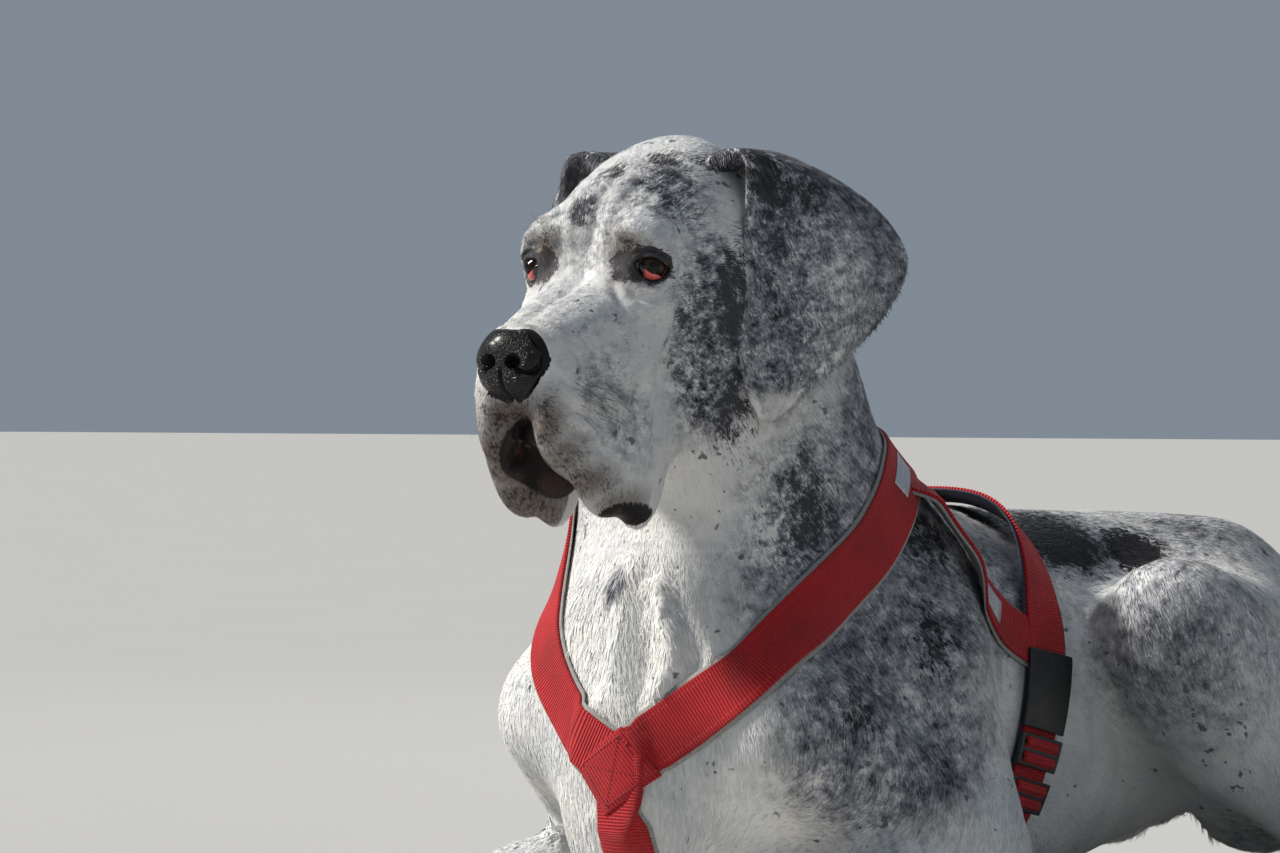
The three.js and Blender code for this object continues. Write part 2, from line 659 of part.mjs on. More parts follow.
function ear(mirror) {
  const line = (key) => new THREE.CatmullRomCurve3(EAR_ROWS.map((row) => new THREE.Vector3(...row[key])));
  const [front, rear] = [line('front'), line('rear')];
  const between = (key, t) => {
    const at = t * (EAR_ROWS.length - 1);
    const i = Math.min(Math.floor(at), EAR_ROWS.length - 2);
    return THREE.MathUtils.lerp(EAR_ROWS[i][key], EAR_ROWS[i + 1][key], at - i);
  };
  const sheet = (u, v) =>
    front
      .getPoint(v)
      .lerp(rear.getPoint(v), u)
      .addScaledVector(EAR_OUTWARD, between('out', v) * 4 * u * (1 - u));
  const points = [];
  const faces = [];
  const wide = EAR_ACROSS + 1;
  for (const face of [1, -1])
    for (let j = 0; j <= EAR_DOWN; j++)
      for (let i = 0; i <= EAR_ACROSS; i++) {
        const [u, v] = [i / EAR_ACROSS, j / EAR_DOWN];
        const h = 0.01;
        const du = sheet(Math.min(u + h, 1), v).sub(sheet(Math.max(u - h, 0), v));
        const dv = sheet(u, Math.min(v + h, 1)).sub(sheet(u, Math.max(v - h, 0)));
        const normal = dv.cross(du).normalize();
        const rim = i === 0 || j === 0 || i === EAR_ACROSS || j === EAR_DOWN ? 0.5 : 1;
        const p = sheet(u, v).addScaledVector(normal, (face * rim * between('thick', v)) / 2);
        points.push(new THREE.Vector3(...fromHead([p.x * mirror, p.y, p.z])));
      }
  const turn = (...tri) => faces.push(...(mirror < 0 ? tri : tri.reverse()));
  const back = wide * (EAR_DOWN + 1);
  for (let j = 0; j < EAR_DOWN; j++)
    for (let i = 0; i < EAR_ACROSS; i++) {
      const a = j * wide + i;
      turn(a, a + wide, a + 1);
      turn(a + 1, a + wide, a + wide + 1);
      turn(back + a, back + a + 1, back + a + wide);
      turn(back + a + 1, back + a + wide + 1, back + a + wide);
    }
  const rim = [];
  for (let i = 0; i < EAR_ACROSS; i++) rim.push(i);
  for (let j = 0; j < EAR_DOWN; j++) rim.push(j * wide + EAR_ACROSS);
  for (let i = EAR_ACROSS; i > 0; i--) rim.push(EAR_DOWN * wide + i);
  for (let j = EAR_DOWN; j > 0; j--) rim.push(j * wide);
  rim.forEach((a, i) => {
    const b = rim[(i + 1) % rim.length];
    turn(a, b, back + b);
    turn(a, back + b, back + a);
  });
  return solid({ points, faces });
}

// Claws

function claw(x, y, z, size) {
  const matrix = new THREE.Matrix4()
    .makeTranslation(x, y, z)
    .multiply(new THREE.Matrix4().makeRotationX(THREE.MathUtils.degToRad(-150)));
  return solidOf(new THREE.ConeGeometry(5.5 * size, 26 * size, 6), matrix);
}

function clawed(paw, [x, y], size, centre, mirror) {
  return TOES.reduce((whole, toe) => {
    const side = centre + mirror * (x + toe.side * size);
    return whole.add(claw(side, y - (toe.forward + 21) * size, 16 * size, size));
  }, paw);
}

// Straps: webbing laid over the coat along a curve, each point drawn to the coat's surface

function laid(point, lift) {
  const p = point.clone();
  for (let step = 0; step < 6; step++) {
    const slope = slopeAt(flesh, p.x, p.y, p.z);
    const away = flesh(p.x, p.y, p.z) - lift;
    p.addScaledVector(slope, -clamp(away / Math.max(slope.lengthSq(), 0.2), -20, 20));
  }
  return p;
}

const RAILS = 4;

// From and to are shares of the line; grow widens the strap on every side and over adds to its outer face.
function strap(line, { wide = WEBBING_WIDE, thick = WEBBING_THICK, lift = LINING_CLEAR, ...more }) {
  const { from = 0, to = 1, steps = 16, grow = 0, over = 0 } = more;
  const curve = new THREE.CatmullRomCurve3(line.map((p) => new THREE.Vector3(...p)));
  const points = [];
  const faces = [];
  for (let i = 0; i <= steps; i++) {
    const t = THREE.MathUtils.lerp(from, to, i / steps);
    const middle = laid(curve.getPointAt(t), lift);
    const ahead = curve.getTangentAt(t);
    const out = slopeAt(flesh, middle.x, middle.y, middle.z).normalize();
    const across = out.clone().cross(ahead).normalize();
    const end = i === 0 ? -grow : i === steps ? grow : 0;
    for (const face of [0, 1])
      for (let r = 0; r < RAILS; r++) {
        const side = (r / (RAILS - 1) - 0.5) * (wide + 2 * grow);
        const at = middle.clone().addScaledVector(across, side).addScaledVector(ahead, end);
        const height = face ? lift + thick + grow + over : lift - grow;
        const p = laid(at, height);
        const lowest = STRAP_CLEAR + (face ? -grow : thick + grow);
        p.z = Math.max(p.z, lowest);
        points.push(p);
      }
  }
  const ring = 2 * RAILS;
  const loop = [0, 1, 2, 3, 7, 6, 5, 4];
  for (let i = 0; i < steps; i++)
    for (let s = 0; s < ring; s++) {
      const [a, b] = [i * ring + loop[s], i * ring + loop[(s + 1) % ring]];
      faces.push(a, a + ring, b, b, a + ring, b + ring);
    }
  for (let r = 0; r < RAILS - 1; r++) {
    const [a, b] = [r, steps * ring + r];
    faces.push(a, a + 1, a + RAILS, a + 1, a + RAILS + 1, a + RAILS);
    faces.push(b, b + RAILS, b + 1, b + 1, b + RAILS, b + RAILS + 1);
  }
  return solid({ points, faces: faces.toReversed() });
}

// Build the body whole, then part it

const floor = beyond([0, 0, 0], [0, 0, 1]);
const onFloor = (body) => body.intersect(floor);
const made = new Map();
const make = (name, body, finish) => made.set(name, { body, finish });

const NAPE = fromHead([0, -128, -20]);
const NAPE_AHEAD = new THREE.Vector3(...fromHead([0, 0.92, 0.39])).sub(new THREE.Vector3(...fromHead([0, 0, 0])));

const wholeMesh = meshed(flesh, [-260, -420, -40], [300, 700, 700], BODY_CELL, BODY_COUNT);
const whole = onFloor(solid(wholeMesh));

// Head, with the sockets, nostrils and the line of the mouth cut in

const inHeadFrame = (field) => (x, y, z) => field(...fromHead([x, y, z]));
const headLow = [-110, -215, -225];
const headHigh = [110, 165, 130];
const headOwn = meshed(inHeadFrame(flesh), headLow, headHigh, HEAD_CELL, HEAD_COUNT);
const headMesh = {
  points: headOwn.points.map((p) => new THREE.Vector3(...fromHead(p.toArray()))),
  faces: headOwn.faces.toReversed(),
};
let head = solid(headMesh).intersect(beyond(NAPE, NAPE_AHEAD.toArray(), GAP / 2));

for (const side of [1, -1]) {
  const at = [side * EYE_AT.x, EYE_AT.y, EYE_AT.z];
  const turn = side * THREE.MathUtils.degToRad(38);
  const forward = [side * (EYE_AT.x + 13), EYE_AT.y + 17, EYE_AT.z - 1];
  head = head.subtract(egg(at, [1, 1, 1].map(() => EYE_RADIUS + GAP), 0, 12));
  head = head.subtract(egg(forward, [14, 16, 8.5], turn));
  head = head.subtract(egg([side * 12, 141, -76], [6, 12, 6.5], 0, 9));
  head = head.subtract(egg([side * 28, 131, -82], [5, 13, 3.5], side * 0.5, 8));
  make(side > 0 ? 'eye_left' : 'eye_right', egg(at, [1, 1, 1].map(() => EYE_RADIUS), 0, 12), EYE);
}
head = head.subtract(egg([0, 142, -98], [1.6, 9, 24], 0, 8));

for (const side of [1, -1]) {
  let lobe = ear(side);
  for (const flank of [headMesh, wholeMesh]) lobe = lobe.subtract(solid(swollen(flank, GAP)));
  make(side > 0 ? 'ear_left' : 'ear_right', largest(lobe), EAR_COAT);
}

const NOSE_AT = [0, 131, -71];
const noseRegion = (grow) => egg(NOSE_AT, [34 + grow, 27 + grow, 32 + grow]);
const [nose, noseless] = carved(head, noseRegion(0), noseRegion(GAP));
make('nose', nose, LEATHER);
const jawBox = (grow) =>
  solidOf(new THREE.BoxGeometry(49 + 2 * grow, 160 + 2 * grow, 60 + 2 * grow), inHead([0, 66, -146]));
const [jaw, upper] = carved(noseless, jawBox(0), jawBox(GAP));
make('lower_jaw', jaw, COAT);
make('head', upper, COAT);

// Neck, trunk and legs

let trunkBody = largest(whole.intersect(beyond(NAPE, NAPE_AHEAD.clone().negate().toArray(), GAP / 2)));

for (const side of [1, -1]) {
  const name = side > 0 ? 'left' : 'right';
  const armBox = (grow) => block([side > 0 ? 104 : -400, -420, -50], [side > 0 ? 400 : -104, 142, 285], grow);
  const [arm, armless] = carved(trunkBody, armBox(0), armBox(GAP));
  const [leg, legless] = carved(armless, legSpace(side, 0), legSpace(side, GAP));
  trunkBody = legless;

  const [upperArm, foreArm] = parted(arm, [0, 0, 85], [0, 0.38, 0.92]);
  const [wrist] = parted(foreArm, [0, -215, 0], [0, 1, 0]);
  make(`upper_arm_${name}`, upperArm, COAT);
  make(`forearm_${name}`, wrist, COAT);

  const [thigh, below] = parted(leg, [0, 400, 218], [0, 0.42, 0.91]);
  const [shank, foot] = parted(below, [0, 480, 98], [0, 0.25, 0.97]);
  make(`thigh_${name}`, thigh, COAT);
  make(`shank_${name}`, shank, COAT);
  const [metatarsus] = parted(foot, [0, 368, 0], [0, 1, 0]);
  make(`hind_pastern_${name}`, metatarsus, COAT);

  const paws = [
    ['forepaw', FOREPAW_AT, FORE_SIZE, 0, -215],
    ['hind_paw', HINDPAW_AT, HIND_SIZE, sway(HINDPAW_AT[1]), 368],
  ];
  for (const [part, at, size, centre, wristY] of paws) {
    const x = centre + side * at[0];
    const near = [x - 72, wristY - 160, -30];
    const far = [x + 72, wristY + 30, 92];
    const fine = onFloor(solid(meshed(flesh, near, far, PAW_CELL, PAW_COUNT)));
    const [, paw] = parted(fine, [0, wristY, 0], [0, 1, 0]);
    make(`${part}_${name}`, largest(onFloor(clawed(paw, at, size, centre, side))), COAT);
  }
}

const [neck, chestOn] = parted(trunkBody, [0, -20, 330], [0, -0.62, 0.78]);
make('neck', neck, COAT);
const [rumpOn, chest] = parted(chestOn, [0, 250, 0], [0, 1, 0]);
make('chest', chest, COAT);
const [rump, loin] = parted(rumpOn, [0, 440, 0], [0, 1, 0]);
const tailStart = TAIL_LINE.getPointAt(TAIL_CUTS[0]);
const tailAhead = TAIL_LINE.getTangentAt(TAIL_CUTS[0]);
const [, hips] = parted(rump, tailStart.toArray(), tailAhead.toArray());
make('loin', loin, COAT);
make('hips', hips, COAT);

['tail_base', 'tail_middle', 'tail_tip'].forEach((name, i) => {
  const share = GAP / TAIL_LINE.getLength();
  const tip = i === 2;
  const from = TAIL_CUTS[i] + share;
  const to = TAIL_CUTS[i + 1] - (tip ? 0 : share);
  make(name, solid(tube(TAIL_LINE, from, to, 9, TAIL_SIDES, tailRadius, tip)), COAT);
});

// Harness: a neck loop that meets in a V on the breast, a strap between the forelegs, a girth,
// and straps along the spine and the sides that join the two loops. Lines are listed for the left side.

const NECK_LEFT = [
  [14, -219, 172],
  [38, -212, 189],
  [70, -192, 215],
  [107, -172, 246],
  [122, -129, 281],
  [128, -75, 317],
  [130, -38, 342],
  [125, -3, 371],
  [107, 34, 399],
  [70, 78, 418],
  [32, 98, 425],
  [0, 102, 427],
];
const NECK_RIGHT = [
  [14, -219, 172],
  [-15, -218, 190],
  [-46, -205, 213],
  [-70, -191, 239],
  [-88, -174, 268],
  [-100, -150, 300],
  [-104, -118, 345],
  [-96, -66, 384],
  [-74, 10, 408],
  [-36, 86, 424],
  [0, 102, 427],
];
const STERNUM_LINE = [
  [14, -214, 182],
  [14, -220, 145],
  [13, -204, 90],
  [10, -165, 30],
  [7, -110, 6],
  [3, 0, 4],
  [0, 120, 4],
  [0, 166, 4],
];
const DORSAL_LINE = [
  [0, 96, 428],
  [0, 140, 405],
  [0, 180, 388],
  [0, 226, 376],
];
const GIRTH_LINE = [
  [0, 226, 376],
  [62, 224, 356],
  [101, 220, 325],
  [126, 214, 284],
  [135, 208, 251],
  [138, 201, 218],
  [137, 194, 185],
  [130, 185, 143],
  [118, 176, 100],
  [82, 168, 42],
  [40, 166, 12],
  [0, 166, 4],
];
const SIDE_LINE = [
  [102, 44, 398],
  [124, 84, 345],
  [130, 126, 303],
  [133, 164, 272],
  [136, 208, 251],
];
const ON_WEBBING = LINING_CLEAR + WEBBING_THICK + GAP;
const PAD = { from: 0.39, to: 0.515, wide: 56, thick: 3, lift: ON_WEBBING, steps: 3 };
const GLIDES = [0.55, 0.62]; // shares of the girth's line
const GLIDE = { half: 0.026, wide: 58, thick: 4.5 };
const SLOT = { near: 0.005, far: 0.018, wide: 47 };
const RING_RADIUS = 19;
const RING_THICK = 2.5; // radius of its wire
const NAPE_STRAP = 102; // where the neck loop crosses the spine
const V_ASIDE = 14 / (214 + NAPE_STRAP); // the V lies a little to the dog's left
const mirrored = (line) => line.map(([x, y, z]) => [-x, y, z]);
const bared = []; // what the coat keeps clear of

function lay(name, line, shape, others, half = null) {
  let webbing = strap(line, shape);
  for (const other of others) webbing = webbing.subtract(other);
  if (half) webbing = webbing.intersect(half);
  make(name, largest(webbing), WEBBING);
  bared.push(strap(line, { ...shape, grow: GAP, over: COAT_OVER }));
}

const loops = [];
for (const side of [1, -1]) {
  const name = side > 0 ? 'left' : 'right';
  const neckLine = side > 0 ? NECK_LEFT : NECK_RIGHT;
  const girthLine = side > 0 ? GIRTH_LINE : mirrored(GIRTH_LINE);
  for (const [part, line, aside] of [['neck', neckLine, V_ASIDE], ['girth', girthLine, 0]]) {
    const half = beyond([0, NAPE_STRAP, 0], [side, side * aside, 0], GAP / 2);
    lay(`harness_${part}_${name}`, line, { steps: 19 }, [], half);
    loops.push(strap(line, { steps: 19, grow: GAP }));
  }
}
lay('harness_sternum', STERNUM_LINE, { steps: 18 }, loops);
lay('harness_dorsal', DORSAL_LINE, { steps: 6 }, loops);
lay('harness_side_left', SIDE_LINE, { steps: 8, wide: SIDE_WIDE }, loops);
lay('harness_side_right', mirrored(SIDE_LINE), { steps: 8, wide: SIDE_WIDE }, loops);

for (const side of [1, -1]) {
  const name = side > 0 ? 'left' : 'right';
  const line = side > 0 ? GIRTH_LINE : mirrored(GIRTH_LINE);
  const clear = (body) => largest(loops.reduce((rest, loop) => rest.subtract(loop), body));
  make(`harness_pad_${name}`, clear(strap(line, PAD)), PADDING);
  GLIDES.forEach((at, i) => {
    const span = (near, far, more) => strap(line, { from: at + near, to: at + far, ...more });
    const { half, wide, thick } = GLIDE;
    let glide = span(-half, half, { wide, thick, lift: ON_WEBBING, steps: 2 });
    for (const [near, far] of [[-SLOT.far, -SLOT.near], [SLOT.near, SLOT.far]]) {
      const through = { wide: SLOT.wide, thick: 3 * thick, lift: ON_WEBBING - thick, steps: 1 };
      glide = glide.subtract(span(near, far, through));
    }
    make(`harness_slider_${i ? 'lower' : 'upper'}_${name}`, clear(glide), BUCKLE);
  });
}
const ringAt = laid(new THREE.Vector3(0, 160, 400), ON_WEBBING + RING_THICK);
const ringUp = slopeAt(flesh, ringAt.x, ringAt.y, ringAt.z).normalize();
const ringTurn = new THREE.Quaternion().setFromUnitVectors(new THREE.Vector3(0, 0, 1), ringUp);
const ringMatrix = new THREE.Matrix4().compose(ringAt, ringTurn, new THREE.Vector3(1, 1, 1));
make('harness_ring', solidOf(new THREE.TorusGeometry(RING_RADIUS, RING_THICK, 6, 16), ringMatrix), RING);

const flanks = ['neck', 'chest', 'loin'];
for (const name of ['upper_arm', 'forearm', 'thigh', 'shank']) flanks.push(`${name}_left`, `${name}_right`);
for (const name of flanks) {
  const flank = made.get(name);
  for (const space of bared) flank.body = flank.body.subtract(space);
  flank.body = largest(flank.body);
}

const nodes = [...made].map(([name, { body, finish }]) => {
  const mesh = body.getMesh();
  const geometry = new THREE.BufferGeometry();
  geometry.setAttribute('position', new THREE.BufferAttribute(mesh.vertProperties, 3));
  geometry.setIndex(new THREE.BufferAttribute(mesh.triVerts, 1));
  geometry.computeVertexNormals();
  const node = new THREE.Mesh(geometry, new THREE.MeshStandardMaterial(finish));
  node.name = name;
  return node;
});

const great_dane = new THREE.Group();
great_dane.name = 'great_dane';
great_dane.add(...nodes);

// The origin goes to the floor under the middle of the dog.
const middle = new THREE.Box3().setFromObject(great_dane).getCenter(new THREE.Vector3());
for (const node of nodes) node.geometry.translate(-middle.x, -middle.y, 0);

export default great_dane;
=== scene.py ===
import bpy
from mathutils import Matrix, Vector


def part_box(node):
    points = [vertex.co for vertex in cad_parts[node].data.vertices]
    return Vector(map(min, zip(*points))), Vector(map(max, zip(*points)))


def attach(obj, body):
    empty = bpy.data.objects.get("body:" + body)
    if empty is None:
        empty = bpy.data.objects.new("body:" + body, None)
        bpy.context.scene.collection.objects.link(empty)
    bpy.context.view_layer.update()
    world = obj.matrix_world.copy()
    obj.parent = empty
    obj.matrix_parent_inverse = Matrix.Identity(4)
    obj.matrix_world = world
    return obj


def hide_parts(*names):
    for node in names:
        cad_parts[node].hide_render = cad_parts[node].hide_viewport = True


bl_info = {
    "name": "Resting Great Dane",
    "version": (1, 0, 0),
    "blender": (4, 5, 0),
    "location": "View3D > Sidebar > Great Dane",
    "description": "Skin, coat, eyes, nose, ears and harness of a life-size resting great dane",
    "category": "Object",
}

import math
from contextlib import contextmanager

import bpy
import numpy as np
from mathutils import Vector
from mathutils.bvhtree import BVHTree

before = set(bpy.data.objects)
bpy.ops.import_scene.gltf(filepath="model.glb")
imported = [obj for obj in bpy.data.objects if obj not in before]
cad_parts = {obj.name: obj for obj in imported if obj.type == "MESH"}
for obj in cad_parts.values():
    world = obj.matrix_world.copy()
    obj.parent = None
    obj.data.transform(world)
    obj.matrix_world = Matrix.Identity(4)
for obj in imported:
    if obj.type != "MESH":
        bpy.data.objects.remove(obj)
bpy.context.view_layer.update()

# The dog's forms are in millimetres: X to its left, Y from its head to its hips, Z up from the floor.

MM = 0.001
OFFSET = np.array([65.243, 249.300, 0.0])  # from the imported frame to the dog's own
HIP_SHIFT = 60.0
SWAY_FROM = 160.0
SWAY_TO = 560.0
HEAD_AT = np.array([18.0, -256.0, 564.0])
HEAD_TURN = math.radians(7.0)
EYE_AT = np.array([50.0, -3.0, 0.0])
EYE_AHEAD = np.array([0.607, 0.794, -0.047])
EYE_ASIDE = np.array([0.794, -0.607, 0.0])
EYE_UP = np.cross(EYE_ASIDE, EYE_AHEAD)
STRAP_CLEAR = 0.6  # from the floor to the webbing under the breast
STRAP_LIFT = 1.6  # from the flesh to the lines of the straps
HEAD_ABOVE = 330.0  # all of the head is above this height,
FACE_ABOVE = 340.0  # and all of the face above this one
FAR = 1000.0
SIDES = (("left", 1), ("right", -1))

FLESH_NODES = ["head", "lower_jaw", "neck", "chest", "loin", "hips"]
FLESH_NODES += ["tail_base", "tail_middle", "tail_tip"]
FLESH_NODES += [
    f"{part}_{side}"
    for part in ("upper_arm", "forearm", "forepaw", "thigh", "shank", "hind_pastern", "hind_paw")
    for side, _ in SIDES
]


def smooth(value, low, high):
    t = np.clip((value - low) / (high - low), 0, 1)
    return t * t * (3 - 2 * t)


def hump(value, middle, width):
    """1 at the middle, falling off softly on both sides."""
    return np.exp(-(((value - middle) / width) ** 2))


def folded(p, middle=0):
    """Places on both sides of the middle, all brought to the left."""
    return np.stack([np.abs(p[:, 0] - middle), p[:, 1], p[:, 2]], 1)


def unit(v):
    return v / np.maximum(np.linalg.norm(v, axis=-1, keepdims=True), 1e-9)


def hermite(a, b, leave, arrive, t):
    """Between two places, left and reached at the given paces."""
    t2, t3 = t * t, t * t * t
    at = a * (2 * t3 - 3 * t2 + 1) + leave * (t3 - 2 * t2 + t)
    return at + b * (3 * t2 - 2 * t3) + arrive * (t3 - t2)


def ball(centre, radii, tilt=0.0):
    """Distance to a ball of three radii, tipped about X by degrees."""
    cos, sin = math.cos(math.radians(tilt)), math.sin(math.radians(tilt))
    rx, ry, rz = radii

    def distance(p):
        d = p - np.array(centre, float)
        y = d[:, 1] * cos + d[:, 2] * sin
        z = d[:, 2] * cos - d[:, 1] * sin
        a, b, c = d[:, 0] / rx, y / ry, z / rz
        near = np.sqrt(a * a + b * b + c * c)
        slope = np.sqrt((a / rx) ** 2 + (b / ry) ** 2 + (c / rz) ** 2)
        return near * (near - 1) / np.maximum(slope, 1e-6)

    return distance


def limb(a, b, ra, rb):
    """Distance to a rod with round ends, from one place and radius to another."""
    a, b = np.array(a, float), np.array(b, float)
    line = b - a

    def distance(p):
        d = p - a
        t = np.clip(d @ line / (line @ line), 0, 1)
        return np.linalg.norm(d - t[:, None] * line, axis=1) - ra - (rb - ra) * t

    return distance


def blend(a, b, soft):
    """Distance to two forms that run into each other."""
    near = np.maximum(soft - np.abs(a - b), 0) / soft
    return np.minimum(a, b) - near * near * soft * 0.25


def blended(forms, p):
    d = forms[0][0](p)
    for form, soft in forms[1:]:
        d = blend(d, form(p), soft)
    return d


# The trunk: stations along Y with its top, widest height, underside and half width

TRUNK = np.array([
    (-212, 215, 165, 115, 30),
    (-180, 275, 165, 50, 78),
    (-120, 335, 185, 12, 108),
    (-40, 385, 200, -5, 122),
    (40, 398, 210, -6, 130),
    (120, 392, 212, -3, 134),
    (200, 376, 212, 8, 136),
    (290, 368, 215, 28, 130),
    (380, 364, 215, 60, 112),
    (460, 362, 225, 80, 104),
    (540, 352, 230, 90, 92),
    (600, 318, 230, 120, 62),
    (632, 270, 225, 180, 22),
], float)


def sway(y):
    return HIP_SHIFT * smooth(y, SWAY_FROM, SWAY_TO)


def trunk(p):
    y = np.clip(p[:, 1], TRUNK[0, 0], TRUNK[-1, 0])
    last = len(TRUNK) - 1
    i = np.clip(np.searchsorted(TRUNK[:, 0], y) - 1, 0, last - 1)
    before, a, b, after = (TRUNK[np.clip(i + k, 0, last)] for k in (-1, 0, 1, 2))
    step = (b[:, 0] - a[:, 0])[:, None]
    t = np.clip((y - a[:, 0])[:, None] / step, 0, 1)
    leave = (b - before) / (b[:, :1] - before[:, :1]) * step
    arrive = (after - a) / (after[:, :1] - a[:, :1]) * step
    _, top, wide, bottom, half = hermite(a, b, leave, arrive, t).T
    dx, dz = p[:, 0] - sway(y), p[:, 2] - wide
    high = np.where(dz > 0, top - wide, wide - bottom)
    near = np.maximum(np.hypot(dx / half, dz / high), 1e-6)
    out = np.hypot(dx, dz) * (1 - 1 / near)
    past = np.abs(p[:, 1] - y)
    return np.where(past > 0, np.hypot(np.maximum(out, 0), past), out)


NECK = [
    (limb([0, 30, 305], [3, -74, 470], 128, 98), 60),
    (limb([3, -74, 470], [10, -150, 560], 98, 76), 60),
    (limb([4, -120, 440], [10, -190, 450], 60, 30), 60),
    (ball([0, -150, 250], [62, 52, 90], 10), 60),
    (limb([-36, -82, 380], [-48, -94, 270], 68, 78), 50),
    (limb([40, -72, 372], [46, -84, 270], 66, 76), 50),
]
FORELEG = [
    (ball([88, 5, 262], [44, 105, 118], -20), 40),
    (limb([106, -118, 205], [150, 30, 92], 64, 56), 40),
    (limb([112, 42, 232], [150, 78, 100], 70, 44), 45),
    (limb([158, 62, 46], [176, -90, 44], 50, 46), 40),
    (limb([176, -90, 44], [180, -222, 31], 46, 33), 30),
]
HINDLEG = [
    (ball([62, 500, 245], [62, 105, 108]), 50),
    (limb([72, 505, 215], [180, 315, 270], 96, 54), 50),
    (limb([82, 545, 130], [172, 350, 215], 70, 50), 50),
    (limb([181, 308, 262], [178, 400, 170], 52, 47), 30),
    (limb([178, 400, 170], [162, 535, 66], 47, 27), 30),
    (limb([163, 545, 34], [192, 352, 27], 37, 29), 18),
]

# Toes: aside, forward, height of the knuckle

TOES = [(-33, 34, 27), (-12, 52, 30), (12, 52, 30), (33, 34, 27)]
FOREPAW_AT = (181, -262, 1.04)
HINDPAW_AT = (198, 322, 0.94)


def paw(x, y, s):
    forms = [(ball([x, y + 8 * s, 36 * s], [38 * s, 48 * s, 36 * s], 12), 12)]
    for side, ahead, high in TOES:
        at = lambda along, up: [x + side * s, y - (ahead + along) * s, up * s]
        forms.append((limb(at(-30, 36), at(-4, high + 4), 15 * s, 15.5 * s), 7))
        forms.append((limb(at(-4, high + 2), at(9, 17), 15.5 * s, 14 * s), 5))
    return forms


FOREPAW = paw(*FOREPAW_AT)
HINDPAW = paw(*HINDPAW_AT)

# The head, in its own frame: side, forward, up from midway between the eyes

HEAD = [
    (ball([0, -92, 30], [61, 88, 60], -18), 20),
    (ball([0, -36, 18], [50, 46, 48], -18), 30),
    (ball([40, -10, 22], [24, 25, 22]), 20),
    (ball([0, -146, 72], [26, 24, 24]), 40),
    (ball([49, -52, -28], [25, 58, 32]), 30),
    (ball([44, -88, -52], [30, 50, 58], -10), 30),
    (limb([17, 0, -42], [7, 108, -73], 37, 26), 30),
    (limb([26, 10, -78], [15, 96, -96], 32, 24), 25),
    (ball([25, 86, -116], [18, 40, 46]), 14),
    (ball([36, 42, -138], [18, 52, 58]), 16),
    (ball([37, -2, -150], [16, 38, 54]), 16),
    (limb([0, -30, -112], [0, -110, -75], 40, 62), 40),
    (limb([0, -120, 30], [0, -160, -50], 58, 70), 50),
    (ball(EYE_AT, [21, 19, 17]), 8),
    (ball([0, 119, -73], [31, 22, 28]), 5),
]
JAW = [
    (limb([0, 84, -127], [0, 20, -132], 15, 20), 12),
    (limb([0, 20, -132], [0, -60, -122], 20, 32), 12),
]
MOUTH = [(ball([0, 78, -150], [22, 44, 34]), 6), (ball([0, 20, -160], [24, 60, 34]), 12)]


def turned(q):
    """Directions of the dog's frame in the head's, and the other way round."""
    cos, sin = math.cos(HEAD_TURN), math.sin(HEAD_TURN)
    x, y, z = q[..., 0], q[..., 1], q[..., 2]
    return np.stack([x * cos + y * sin, x * sin - y * cos, z], -1)


def to_head(p):
    return turned(p - HEAD_AT)


def from_head(h):
    return HEAD_AT + turned(np.atleast_2d(np.array(h, float)))


def head_form(h):
    skull = blended(HEAD, folded(h))
    hollow = -blend(-skull, blended(MOUTH, h), 6)
    return np.minimum(np.maximum(skull, hollow), blended(JAW, h))


def spline(points, t):
    """A centripetal curve through the points, at the shares t of its parameter."""
    q = np.array(points, float)
    q = np.vstack([2 * q[0] - q[1], q, 2 * q[-1] - q[-2]])
    at = np.clip(np.atleast_1d(t), 0, 1) * (len(q) - 3)
    i = np.minimum(at.astype(int), len(q) - 4)
    p0, p1, p2, p3 = (q[i + k] for k in range(4))
    pairs = ((p0, p1), (p1, p2), (p2, p3))
    d0, d1, d2 = (np.sqrt(np.linalg.norm(b - a, axis=1))[:, None] for a, b in pairs)
    leave = ((p1 - p0) / d0 - (p2 - p0) / (d0 + d1) + (p2 - p1) / d1) * d1
    arrive = ((p2 - p1) / d1 - (p3 - p1) / (d1 + d2) + (p3 - p2) / d2) * d1
    return hermite(p1, p2, leave, arrive, (at - i)[:, None])


def evenly(points, shares):
    """Points at even shares of the curve's length."""
    fine = spline(points, np.linspace(0, 1, 400))
    far = np.concatenate([[0], np.cumsum(np.linalg.norm(np.diff(fine, axis=0), axis=1))])
    return np.stack([np.interp(np.asarray(shares) * far[-1], far, fine[:, k]) for k in range(3)], 1)


TAIL_LINE = [(72, 612, 262), (78, 652, 196), (88, 690, 112), (106, 736, 42)]
TAIL_LINE += [(146, 800, 14), (214, 858, 10.5), (292, 884, 8.5), (362, 880, 6.5)]
TAIL_THICK = 27.0
TAIL_THIN = 8.0
TAIL_STEPS = 36
tail_shares = np.linspace(0, 1, TAIL_STEPS)
tail_points = evenly(TAIL_LINE, tail_shares)
tail_radii = TAIL_THICK + (TAIL_THIN - TAIL_THICK) * tail_shares**0.8
TAIL_ROOT = limb(tail_points[0], tail_points[4], TAIL_THICK + 4, tail_radii[4])


def tail(p):
    d = TAIL_ROOT(p)
    for i in range(TAIL_STEPS - 1):
        part = limb(tail_points[i], tail_points[i + 1], tail_radii[i], tail_radii[i + 1])
        d = np.minimum(d, part(p))
    return d


def inside(p, low, high):
    return np.flatnonzero(np.all((p > low) & (p < high), axis=1))


def within(form, p, low, high):
    """A form's distance where it can matter, and far away elsewhere."""
    d = np.full(len(p), FAR)
    near = inside(p, low, high)
    if len(near):
        d[near] = form(p[near])
    return d


